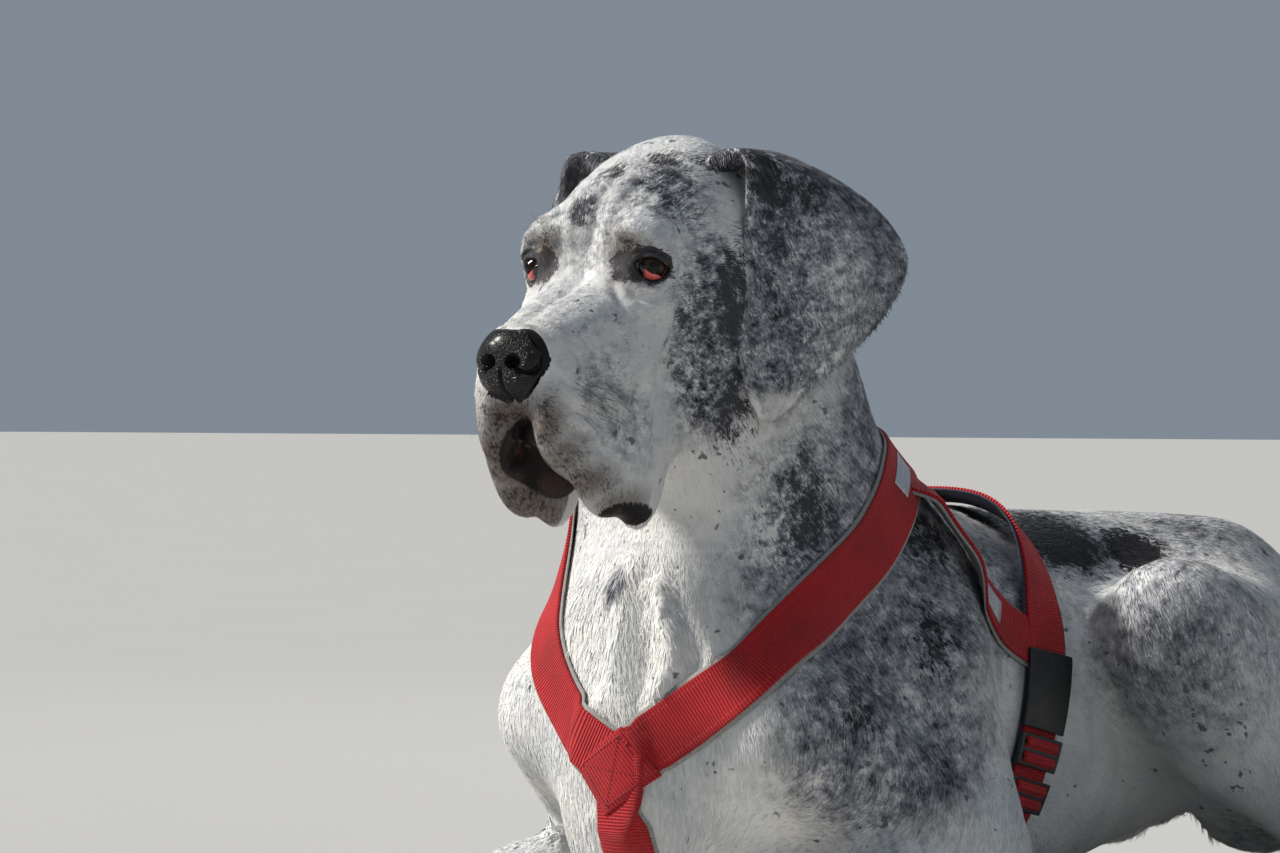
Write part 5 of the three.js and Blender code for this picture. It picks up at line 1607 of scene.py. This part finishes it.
def webbing_finish(name, shade):
    """Ribbed webbing with a stitched line near each edge. Its own map is in metres, across and along."""
    f = Finish(name, Specular_IOR_Level=0.3, Sheen_Weight=0.08, Sheen_Roughness=0.5)
    where = f.place(uv="weave")
    across, along, _ = f.node("SeparateXYZ", {0: where}).outputs
    rib = f.wave(along, RIB)
    yarn = f.wave(across, YARN)
    weave = f.plus(rib, f.times(yarn, 0.35))
    edge = f.minus(f.math("ABSOLUTE", across), STITCHED_AT)
    line = f.steps(f.math("ABSOLUTE", edge), 0.0003, 0.0007, 1.0, 0.0)
    dash = f.steps(f.wave(along, STITCH), -0.35, -0.1)
    stitch = f.times(line, dash)
    place = f.place()
    worn = f.noise(place, 26, 5, 0.6)
    fuzz = f.noise(place, 1300, 2, 0.7)
    dull = f.mix(f.steps(worn, 0.35, 0.75), shade, tinted(shade, 0.66, 0.012))
    # Painted shade: the webbing is darker in the grooves of its weave, where the ribs are low.
    groove_shaded = f.mix(f.steps(weave, -1.3, 0.6, 0.5, 0.0), dull, tinted(shade, 0.36))
    faded = f.mix(f.steps(fuzz, 0.55, 0.8, 0, 0.35), groove_shaded, tinted(shade, 1.2, 0.015))
    f.set(Base_Color=f.mix(f.times(stitch, 0.8), faded, tinted(shade, 1.15, 0.02)))
    f.set(Roughness=f.steps(worn, 0.3, 0.7, 0.62, 0.85))
    height = f.plus(f.plus(weave, stitch), f.times(fuzz, 0.6))
    return f.set(Normal=f.bump(height, 0.0006, 0.9))


def felt_finish(name, shade):
    f = Finish(name, Sheen_Weight=0.12, Sheen_Roughness=0.6)
    place = f.place()
    fluff = f.noise(place, 700, 5, 0.75)
    clumps = f.noise(place, 120, 3, 0.6)
    f.set(Base_Color=f.mix(f.steps(fluff, 0.3, 0.7), shade, tinted(shade, 1.9, 0.02)))
    f.set(Roughness=f.steps(clumps, 0.3, 0.7, 0.8, 0.95))
    return f.set(Normal=f.bump(f.plus(fluff, clumps), 0.0008, 0.8))


def plastic_finish(name, shade):
    f = Finish(name, Specular_IOR_Level=0.5)
    place = f.place()
    grain = f.noise(place, 1100, 2, 0.5)
    scuffs = f.noise(place, 55, 5, 0.7)
    f.set(Base_Color=f.mix(f.steps(scuffs, 0.45, 0.75), shade, tinted(shade, 2.2, 0.01)))
    f.set(Roughness=f.steps(scuffs, 0.3, 0.7, 0.32, 0.52))
    return f.set(Normal=f.bump(grain, 0.0002, 0.5))


class OnRun:
    """Flat pieces of the harness wrapped over a run of strap."""

    def band(self, name, run, start, end, wide, inner, thick, columns, rows, profile=None, floor=STRAP_CLEAR):
        """A band from one share of the run to another, its inner face at a height over the coat."""

        def spread(shares):
            return start + (end - start) * shares[:, 1], wide * (shares[:, 0] - 0.5)

        def place(shares):
            share, across = spread(shares)
            return run.at(share, across, inner + (profile(share, across) if profile else 0), floor)

        def weave(shares):
            share, across = spread(shares)
            return np.stack([across, share * run.long], 1) * MM

        piece, _ = grid(name, columns, rows, place)
        face_out(piece, run.outward(start), columns)
        modified(piece, "SOLIDIFY", thickness=thick * MM, offset=1, use_rim=True)
        map_in_metres(piece, weave)
        return piece


def girth_stands(share, ahead):
    """The girth strap's front edge stands off the flank of the back."""
    off = 4 + 22 * hump(share, 0.17, 0.10) * (share < 0.40)
    return off * (1 - smooth(share, 0.26, 0.38)) * (0.12 + 0.88 * np.clip(ahead / 46 + 0.5, 0, 1))


def side_stands(share, ahead):
    """The side strap's front edge stands off the shoulder."""
    return 17 * smooth(share, 0.02, 0.14) * (1 - smooth(share, 0.34, 0.62)) * np.clip(ahead / 40 + 0.5, 0, 1)


# The stitched corner where the neck straps meet: its top, left, right and lowest point

CORNER = np.array([(20, -221, 204), (-29, -215, 174), (47, -204, 166), (-1, -213, 133)], float)


def corner_fit():
    """A smooth sheet over the breast under the stitched corner: its facing and its heights."""
    top, left, right, low = CORNER
    facing = unit(np.cross(right - left, low - top)[None])[0]
    facing = facing * np.sign(-facing[1])
    tries = np.linspace(-0.1, 1.1, 13)
    s, t = (g.ravel() for g in np.meshgrid(tries, tries))
    flat = corner_flat(s, t)
    height = (laid(flat, STRAP_LIFT) - flat) @ facing
    terms = corner_terms(s, t)
    fit = np.linalg.lstsq(terms, height, rcond=None)[0]
    fit[0] += (height - terms @ fit).max() * 0.4
    return facing, fit


def corner_flat(s, t):
    top, left, right, low = CORNER
    s, t = np.reshape(s, (-1, 1)), np.reshape(t, (-1, 1))
    return (1 - s) * (1 - t) * top + (1 - s) * t * left + s * (1 - t) * right + s * t * low


def corner_terms(s, t):
    return np.stack([s**i * t**j for i in range(4) for j in range(4 - i)], 1)


CORNER_FACING, CORNER_FIT = corner_fit()


def on_corner(s, t, lift):
    """A place on the stitched corner where the neck straps meet over the breast strap."""
    height = corner_terms(s, t) @ CORNER_FIT + lift - STRAP_LIFT
    return corner_flat(s, t) + CORNER_FACING * height[:, None]


class DANE_OT_webbing(DanePiece, OnRun, bpy.types.Operator):
    """Ribbed straps of the harness, each with its felt lining"""

    bl_idname = "dane.webbing"
    bl_label = "Webbing"

    def execute(self, context):
        red = webbing_finish("webbing_red", self.colours.webbing)
        felt = felt_finish("felt_grey", self.colours.felt)
        navy = felt_finish("felt_navy", self.colours.navy)
        thick = self.sizes.webbing_thick / MM
        under = self.sizes.lining_thick / MM
        over = self.sizes.lining_over / MM
        for name, line, wide, rows in STRAPS:
            run = Run(line)
            girth = name.startswith("girth")
            sign = 1 if name.endswith("left") else -1
            lifted = girth_stands if girth else side_stands if "side" in name else None
            stands = (lambda share, across: lifted(share, -sign * across)) if lifted else None
            end = 0.985 if "neck" in name or girth else 1.0
            rise = 1.2 if name in ("dorsal", "neck_right") else 0.0
            along, laying = (run, 0.0, end), (rows, stands, STRAP_CLEAR + thick)
            slab = self.band(f"strap_{name}", *along, wide, 1.7 + rise, thick - 0.4, 14, *laying)
            finish_piece(bevelled(slab, 0.0006), red, [f"harness_{name}"])
            wide, inner = wide + 2 * over, STRAP_LIFT + rise - under
            lining = self.band(f"lining_{name}", *along, wide, inner, under, 10, *laying)
            finish_piece(lining, navy if girth else felt)
        self.corner(red)
        return {"FINISHED"}

    def corner(self, red):
        """The stitched corner of the neck straps, and its stitches one by one."""

        def height(s):
            edge = np.minimum.reduce([s[:, 0], 1 - s[:, 0], s[:, 1], 1 - s[:, 1]])
            return 3.2 + 1.2 * smooth(edge, 0, 0.12) - 0.25 * hump(edge, 0.12, 0.02)

        piece, _ = grid("strap_corner", 36, 36, lambda s: on_corner(s[:, 0], s[:, 1], height(s)))
        face_out(piece, np.array([0, -1, 0.2]))
        modified(piece, "SOLIDIFY", thickness=0.0012, offset=1, use_rim=True)
        map_in_metres(piece, lambda shares: (shares - (0.5, 0)) * (0.044, 0.050))
        finish_piece(piece, red)
        a, b, c, d = np.array([(0.1, 0.1), (0.9, 0.1), (0.9, 0.9), (0.1, 0.9)])
        points, faces = [], []
        for start, end in ((a, b), (b, c), (c, d), (d, a), (a, c), (b, d)):
            count = int(round(np.linalg.norm((end - start) * (47, 50)) / 3.2))
            for i in range(count):
                ends = start + (end - start) * np.array([[i + 0.12], [i + 0.88]]) / count
                root, tip = on_corner(ends[:, 0], ends[:, 1], height(ends) + 1.45)
                out = CORNER_FACING * 0.5
                aside = unit(np.cross(tip - root, out)) * 0.42
                middle = (root + tip) / 2
                first = len(points)
                points += [root - out * 0.6, middle + aside, middle + out]
                points += [middle - aside, middle - out, tip - out * 0.6]
                ring = [(1, 2), (2, 3), (3, 4), (4, 1)]
                faces += [(first, first + k, first + j) for j, k in ring]
                faces += [(first + 5, first + j, first + k) for j, k in ring]
        thread = felt_finish("thread_red", tinted(self.colours.webbing, 0.10, 0.004))
        stitches = solid_mesh("stitches", to_frame(np.array(points)), np.array(faces))
        pick(stitches)
        with editing():
            bpy.ops.mesh.normals_make_consistent(inside=False)
        finish_piece(stitches, thread)


# Shares of the girth where the pad starts and ends and the sliders sit, then the sliders: half
# their length as a share of it, their width, and their height over the coat

PAD_FROM = 0.39
PAD_TO = 0.515
SLIDERS = (("upper", 0.55), ("lower", 0.62))
SLIDER_HALF = 0.026
SLIDER_WIDE = 58.0
SLIDER_LIFT = 4.9
BAR_OFF = 0.0118  # from a slider's middle to each loop of webbing,
LOOP_HALF = 0.0098  # and half of a loop's length
RING_RADIUS = 0.019
RING_WIRE = 0.0025


class DANE_OT_fittings(DanePiece, OnRun, bpy.types.Operator):
    """Pads, three-bar sliders with their loops of webbing, reflective bars and the ring"""

    bl_idname = "dane.fittings"
    bl_label = "Fittings"

    def slider(self, place_and_side, run, at, plastic):
        """A frame of three bars and two sides, cut from a plate and wrapped over the strap."""

        def place(shares):
            share = at + SLIDER_HALF * (2 * shares[:, 1] - 1)
            return run.at(share, SLIDER_WIDE * (shares[:, 0] - 0.5), SLIDER_LIFT)

        piece, shares = grid(f"slider_{place_and_side}", 22, 26, place)
        face_out(piece, run.outward(at))
        middles = np.array([shares[list(face.vertices)].mean(0) for face in piece.data.polygons])
        aside, along = np.abs(middles - 0.5).T
        with editing((aside < 0.41) & (along > 0.09) & (along < 0.37)):
            bpy.ops.mesh.delete(type="FACE")
        modified(piece, "SOLIDIFY", thickness=0.0042, offset=1, use_rim=True)
        bevelled(piece, 0.0011)
        finish_piece(piece, plastic, [f"harness_slider_{place_and_side}"])

    def loop(self, name, run, start, end):
        """Webbing that humps over one bar of a slider."""

        def hump_over(share, across):
            return 4.2 * np.sin(np.clip((share - start) / (end - start), 0, 1) * math.pi)

        return self.band(name, run, start, end, 45.5, 4.7, 2.4, 10, 12, hump_over)

    def execute(self, context):
        red = bpy.data.materials["webbing_red"]
        plastic = plastic_finish("plastic_black", self.colours.plastic)
        mesh_black = plastic_finish("pad_black", (0.003, 0.0035, 0.004))
        silver = Finish("reflective_silver", Metallic=0.55, Specular_IOR_Level=0.6)
        cells = silver.cells(silver.place(), 900)
        bright, dull = (0.72, 0.73, 0.75), (0.42, 0.43, 0.46)
        silver.set(Base_Color=silver.mix(silver.steps(cells, 0.1, 0.6), bright, dull))
        silver.set(Roughness=silver.steps(cells, 0.1, 0.6, 0.28, 0.5), Normal=silver.bump(cells, 0.0002, 0.4))
        for side, sign in SIDES:
            girth = Run(mirrored(GIRTH_LINE, sign))
            crown = lambda share, across: 2.2 * (1 - (across / 30) ** 2)
            pad = self.band(f"pad_{side}", girth, PAD_FROM, PAD_TO, 57, 4.8, 3.0, 18, 22, crown)
            finish_piece(bevelled(pad, 0.001, 3), mesh_black, [f"harness_pad_{side}"])
            for place, at in SLIDERS:
                self.slider(f"{place}_{side}", girth, at, plastic)
                for k, bar in enumerate((at - BAR_OFF, at + BAR_OFF)):
                    loop = self.loop(f"loop_{place}_{k}_{side}", girth, bar - LOOP_HALF, bar + LOOP_HALF)
                    finish_piece(loop, red)
            neck = Run(NECK_LEFT if sign > 0 else NECK_RIGHT)
            bars = ((neck, 0.69, 0.785, 18), (Run(mirrored(SIDE_LINE, sign)), 0.49, 0.70, 23))
            pieces = [self.band(f"bar_{i}_{side}", *bar, 4.5, 0.4, 10, 8) for i, bar in enumerate(bars)]
            finish_piece(joined(f"reflective_bars_{side}", pieces), silver.material)
        steel = Finish("steel", Metallic=1.0)
        worn = steel.noise(steel.place(), 210, 5, 0.65)
        bright, dull = (0.56, 0.57, 0.58), (0.36, 0.36, 0.37)
        steel.set(Base_Color=steel.mix(steel.steps(worn, 0.35, 0.7), bright, dull))
        steel.set(Roughness=steel.steps(worn, 0.3, 0.7, 0.18, 0.36), Normal=steel.bump(worn, 0.0002, 0.3))
        low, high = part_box("harness_ring")
        middle = (low + high) / 2
        out = unit(slope(laid(to_dog(np.array([middle])), STRAP_LIFT))[1])[0]
        bpy.ops.mesh.primitive_torus_add(
            major_segments=64,
            minor_segments=16,
            major_radius=RING_RADIUS,
            minor_radius=RING_WIRE,
            location=middle,
            rotation=Vector(out).to_track_quat("Z", "Y").to_euler(),
        )
        ring = named("harness_ring_round")
        bpy.ops.object.transform_apply(location=True, rotation=True, scale=True)
        finish_piece(ring, steel.material, ["harness_ring"])
        return {"FINISHED"}


# Tufts: how far their roots sink in, how many go into one piece, how many an ear has, and the
# corners of one on the map

TUFT_SINK = 0.08
TUFTS_TO_A_PIECE = 48000
EAR_TUFTS = 24000
TUFT_ON_MAP = np.array([(-0.0012, -0.0012), (0.0012, -0.0012), (0.0, 0.0006), (0.0, 0.0015)])


def thinned(count):
    return count


class DANE_OT_coat(DanePiece, bpy.types.Operator):
    """Short hair in thin closed tufts that lie along the body, on the skin and the ears"""

    bl_idname = "dane.coat"
    bl_label = "Coat"

    def roots(self, piece, density, rng, count):
        """Random places on a piece's faces, with their face and normal."""
        piece.data.calc_loop_triangles()
        p = to_dog(corners_of(piece))[read(piece.data.loop_triangles, "vertices", 3, np.int32)]
        cross = np.cross(p[:, 1] - p[:, 0], p[:, 2] - p[:, 0])
        area = np.linalg.norm(cross, axis=1) / 2
        normal = unit(cross)
        middle = p.mean(1)
        weight = area * density(middle, normal)
        chosen = np.sort(rng.choice(len(p), size=count, p=weight / weight.sum()))
        a, b = rng.random((2, count, 1))
        flip = a + b > 1
        a, b = np.where(flip, 1 - a, a), np.where(flip, 1 - b, b)
        at = p[chosen, 0] + a * (p[chosen, 1] - p[chosen, 0]) + b * (p[chosen, 2] - p[chosen, 0])
        return at, normal[chosen]

    def tufts(self, name, at, normal, way, long, wide, rise, marks_and_shade, hair, uv, rng, material, slot):
        """Joined tufts: each a closed lance with a left and right root, a ridge and a tip."""
        n = len(at)
        way = unit(way - normal * (way * normal).sum(1, keepdims=True))
        swing = rng.normal(0, 0.16, (n, 1))
        aside = unit(np.cross(normal, way))
        way = unit(way + aside * swing)
        aside = np.cross(normal, way)
        long = (long * rng.uniform(0.75, 1.25, n))[:, None]
        half = (wide * rng.uniform(0.8, 1.2, n))[:, None] / 2
        lift = (rise * rng.uniform(0.6, 1.35, n))[:, None]
        p = np.empty((n, 4, 3))
        p[:, 0] = at - aside * half - normal * TUFT_SINK
        p[:, 1] = at + aside * half - normal * TUFT_SINK
        p[:, 2] = at + way * long * 0.38 + normal * (0.20 * lift * long + 0.16 * half)
        p[:, 3] = at + way * long + normal * lift * long * 0.62
        p[:, :, 2] = np.maximum(p[:, :, 2], 0.15)
        faces = np.array([(0, 1, 2), (1, 3, 2), (0, 2, 3), (0, 3, 1)]) + 4 * np.arange(n)[:, None, None]
        piece = solid_mesh(name, to_frame(p.reshape(-1, 3)), faces.reshape(-1, 3))
        put_attribute(piece, "marks_and_shade", np.repeat(marks_and_shade, 4, axis=0))
        put_attribute(piece, "hair", np.repeat(hair, 4, axis=0))
        spots = np.clip(uv[:, None] + TUFT_ON_MAP, 0.0005, 0.9995)
        layer = piece.data.uv_layers.new(name="OFBake")
        layer.data.foreach_set("uv", spots.reshape(-1, 2)[faces.reshape(-1)].astype(np.float32).ravel())
        finish_piece(piece, material, flat=True)

    def unwrapped(self, skin):
        """A coarse copy of the skin, unwrapped, that gives each root its place on the map."""
        pick(skin)
        bpy.ops.object.duplicate()
        rough = named("skin_map")
        rough.parent = None
        modified(rough, "DECIMATE", ratio=0.05)
        pick(rough)
        with editing():
            bpy.ops.uv.smart_project(angle_limit=math.radians(66), island_margin=0.004)
        rough.data.calc_loop_triangles()
        corners, loops = (
            read(rough.data.loop_triangles, key, 3, np.int32) for key in ("vertices", "loops")
        )
        uv = read(rough.data.uv_layers.active.data, "uv", 2)[loops]
        points = corners_of(rough)
        tree = BVHTree.FromPolygons(points.tolist(), corners.tolist())
        bpy.data.objects.remove(rough)
        return tree, points[corners], uv

    def on_map(self, mapping, at):
        """Where each root falls on the coarse copy's map."""
        tree, triangles, uv = mapping
        found = [tree.find_nearest(point) for point in to_frame(at)]
        index = np.array([hit[2] for hit in found])
        q = np.array([hit[0] for hit in found])
        a, b, c = (triangles[index, k] for k in range(3))
        v0, v1, v2 = b - a, c - a, q - a
        d00, d01, d11 = (v0 * v0).sum(1), (v0 * v1).sum(1), (v1 * v1).sum(1)
        d20, d21 = (v2 * v0).sum(1), (v2 * v1).sum(1)
        whole = np.maximum(d00 * d11 - d01 * d01, 1e-18)
        s, t = (d11 * d20 - d01 * d21) / whole, (d00 * d21 - d01 * d20) / whole
        return uv[index, 0] * (1 - s - t)[:, None] + uv[index, 1] * s[:, None] + uv[index, 2] * t[:, None]

    def density(self, p, normal):
        """How many tufts grow at each place: most on the face, none on bare skin or below."""
        h = to_head(p)
        face = smooth(h[:, 1], -70, -10) * (p[:, 2] > FACE_ABOVE)
        head = smooth(h[:, 1], -190, -120) * (p[:, 2] > HEAD_ABOVE)
        density = 0.19 + 0.16 * head + 0.42 * face
        density = np.where((p[:, 2] < 100) & (p[:, 1] < -150), 0.36, density)
        density = density * (1 - smooth(leather(p, h), 0.25, 0.6))
        u, v, w = eye_frame(h)
        eye = (np.hypot(u, v) < 16) & (w > -3) & (outside_lids(u, v) < 1.1)
        sole = (p[:, 2] < 5) | (normal[:, 2] < -0.5) & (p[:, 2] < 30)
        return np.where(eye | sole, 0, density) * (clear_of_straps(p, 17, 19) > 0.5)

    def execute(self, context):
        rng = np.random.default_rng(20)
        skin = bpy.data.objects["skin"]
        material = coat_finish("coat_hair", self.colours)
        at, normal = self.roots(skin, self.density, rng, thinned(self.sizes.hair_count))
        h = to_head(at)
        face = smooth(h[:, 1], -80, -10) * (at[:, 2] > FACE_ABOVE)
        head = smooth(h[:, 1], -200, -110) * (at[:, 2] > HEAD_ABOVE)
        paws = (1 - smooth(at[:, 2], 50, 110)) * (at[:, 1] < -120)
        small = np.maximum(np.maximum(face, 0.55 * head), 0.6 * paws)
        u, v, w = eye_frame(h)
        close = 1 - smooth(np.where(w > -4, np.hypot(u, v), FAR), 12, 30)
        long = self.sizes.hair_length / MM * (1 - 0.56 * small) * (1 - 0.35 * close)
        wide = self.sizes.hair_width / MM * (1 - 0.46 * small)
        throat = hump(h[:, 1], -70, 60) * smooth(-h[:, 2], 190, 240) * (np.abs(h[:, 0]) < 80)
        rump = smooth(at[:, 1], 480, 620)
        long = long * (1 + 0.25 * throat + 0.3 * rump)
        rise = 0.085 + 0.05 * throat + 0.05 * rump
        marks_and_shade = markings_and_shade(at)
        hair = hair_values(at, rng.random(len(at)) ** 1.6, rng.random(len(at)))
        way = flow_at(at)
        uv = self.on_map(self.unwrapped(skin), at)
        order = np.argsort(at[:, 1] + 0.4 * at[:, 0] - 0.5 * at[:, 2], kind="stable")
        parts = np.array_split(order, math.ceil(len(order) / TUFTS_TO_A_PIECE))
        values = (at, normal, way, long, wide, rise, marks_and_shade, hair, uv)
        for i, part in enumerate(parts):
            self.tufts(f"coat_{i + 1}", *(value[part] for value in values), rng, material, "coat")
        for side, sign in SIDES:
            self.ear_coat(side, sign, rng, material)
        return {"FINISHED"}

    def ear_coat(self, side, sign, rng, material):
        ear = bpy.data.objects[f"ear_leaf_{side}"]
        at, normal = self.roots(ear, lambda p, n: np.ones(len(p)), rng, thinned(EAR_TUFTS))
        keep = flesh(at) > -1
        at, normal = at[keep], normal[keep]
        h = to_head(at)
        n = len(at)
        down = turned(np.array([sign * 0.25, -0.35, -0.9]))
        crest = smooth(h[:, 2], 52, 84)
        long = 5.2 + 4.0 * crest * rng.random(n) ** 2
        hair = hair_values(at, rng.random(n) ** 1.3, rng.random(n)) * (1, 1, 1, 0.35)
        outward = normal @ turned(EAR_OUTWARD * (sign, 1, 1)) > 0
        across = (h[:, 1] + 226) / 165 * 0.46 + np.where(outward, 0.02, 0.52)
        uv = np.stack([across, (h[:, 2] + 130) / 240], 1)
        shape = (long, 0.95, 0.11 + 0.12 * crest)
        looks = (ear_marks_and_shade(at), hair, uv, rng, material, "ear_coat")
        self.tufts(f"ear_coat_{side}", at, normal, down, *shape, *looks)


# The stage: each light's kind, place from the dog's middle, power, tint and size, the sky, and the
# camera in the dog's own millimetres, with its focal length in pixels of the photograph

LIT = Vector((0, -0.25, 0.35))
LIGHTS = [
    ("key_light", "SUN", (-2.3, -1.7, 2.4), 5.2, (1.0, 0.96, 0.90), {"angle": 0.16}),
    ("fill_light", "AREA", (3.2, -1.6, 1.4), 2.5, (0.80, 0.90, 1.0), {"shape": "DISK", "size": 3.0}),
    ("back_light", "AREA", (-1.6, 3.0, 2.4), 16, (1, 1, 1), {"shape": "DISK", "size": 2.0}),
]
SKY = (0.72, 0.85, 1.0, 1)
SKY_STRENGTH = 0.30
FLOOR_UNDER = 0.0002
CAMERA_AT = np.array([2731.0, -3797.0, 470.0])
CAMERA_DOWN = 0.396
CAMERA_TURN = 37
FOCAL_LENGTH = 5715
PHOTO_WIDE = 1280
SENSOR_WIDE = 36


class DANE_OT_stage(DanePiece, bpy.types.Operator):
    """Plain pale floor, soft lights and the camera"""

    bl_idname = "dane.stage"
    bl_label = "Stage"

    def light(self, name, kind, away, power, tint, settings):
        bpy.ops.object.light_add(type=kind, location=LIT + Vector(away))
        lamp = named(name)
        lamp.data.energy = power
        lamp.data.color = tint
        for key, value in settings.items():
            setattr(lamp.data, key, value)
        lamp.rotation_euler = (-Vector(away)).to_track_quat("-Z", "Y").to_euler()

    def execute(self, context):
        pick()
        bpy.ops.mesh.primitive_plane_add(size=80, location=(0, 0, -FLOOR_UNDER))
        floor = named("floor")
        bpy.ops.object.transform_apply(location=True, rotation=True, scale=True)
        f = Finish("floor_finish", Specular_IOR_Level=0.2)
        cloudy = f.noise(f.place(), 3, 4, 0.6)
        f.set(Base_Color=f.mix(cloudy, self.colours.floor, tinted(self.colours.floor, 0.985)))
        f.set(Roughness=f.steps(cloudy, 0.3, 0.7, 0.75, 0.9))
        floor.data.materials.append(f.material)
        world = context.scene.world or bpy.data.worlds.new("studio")
        context.scene.world = world
        world.use_nodes = True
        background = world.node_tree.nodes["Background"]
        background.inputs["Color"].default_value = SKY
        background.inputs["Strength"].default_value = SKY_STRENGTH
        context.scene.view_settings.view_transform = "Standard"
        for light in LIGHTS:
            self.light(*light)
        bpy.ops.object.camera_add()
        camera = named("camera")
        camera.location = to_frame(CAMERA_AT)
        camera.rotation_euler = (math.radians(90 - CAMERA_DOWN), 0, math.radians(CAMERA_TURN))
        camera.data.sensor_width = SENSOR_WIDE
        camera.data.lens = FOCAL_LENGTH / PHOTO_WIDE * SENSOR_WIDE
        camera.data.clip_end = 60
        context.scene.camera = camera
        return {"FINISHED"}


class DANE_PT_panel(bpy.types.Panel):
    bl_label = "Great Dane"
    bl_idname = "DANE_PT_panel"
    bl_space_type = "VIEW_3D"
    bl_region_type = "UI"
    bl_category = "Great Dane"

    def draw(self, context):
        for group in (context.scene.dane_sizes, context.scene.dane_colours):
            box = self.layout.box()
            for key in group.bl_rna.properties.keys():
                if key not in ("rna_type", "name"):
                    box.prop(group, key)
        for operator in OPERATORS:
            self.layout.operator(operator.bl_idname)


OPERATORS = (
    DANE_OT_skin,
    DANE_OT_eyes,
    DANE_OT_nose,
    DANE_OT_ears,
    DANE_OT_claws,
    DANE_OT_whiskers,
    DANE_OT_webbing,
    DANE_OT_fittings,
    DANE_OT_coat,
    DANE_OT_stage,
)
CLASSES = (DaneSizes, DaneColours, *OPERATORS, DANE_PT_panel)


def register():
    for cls in CLASSES:
        bpy.utils.register_class(cls)
    bpy.types.Scene.dane_sizes = bpy.props.PointerProperty(type=DaneSizes)
    bpy.types.Scene.dane_colours = bpy.props.PointerProperty(type=DaneColours)


def unregister():
    del bpy.types.Scene.dane_colours
    del bpy.types.Scene.dane_sizes
    for cls in reversed(CLASSES):
        bpy.utils.unregister_class(cls)


def main():
    register()
    bpy.ops.dane.skin()
    bpy.ops.dane.eyes()
    bpy.ops.dane.nose()
    bpy.ops.dane.ears()
    bpy.ops.dane.claws()
    bpy.ops.dane.whiskers()
    bpy.ops.dane.webbing()
    bpy.ops.dane.fittings()
    bpy.ops.dane.coat()
    bpy.ops.dane.stage()
    pick()


if __name__ == "__main__":
    main()
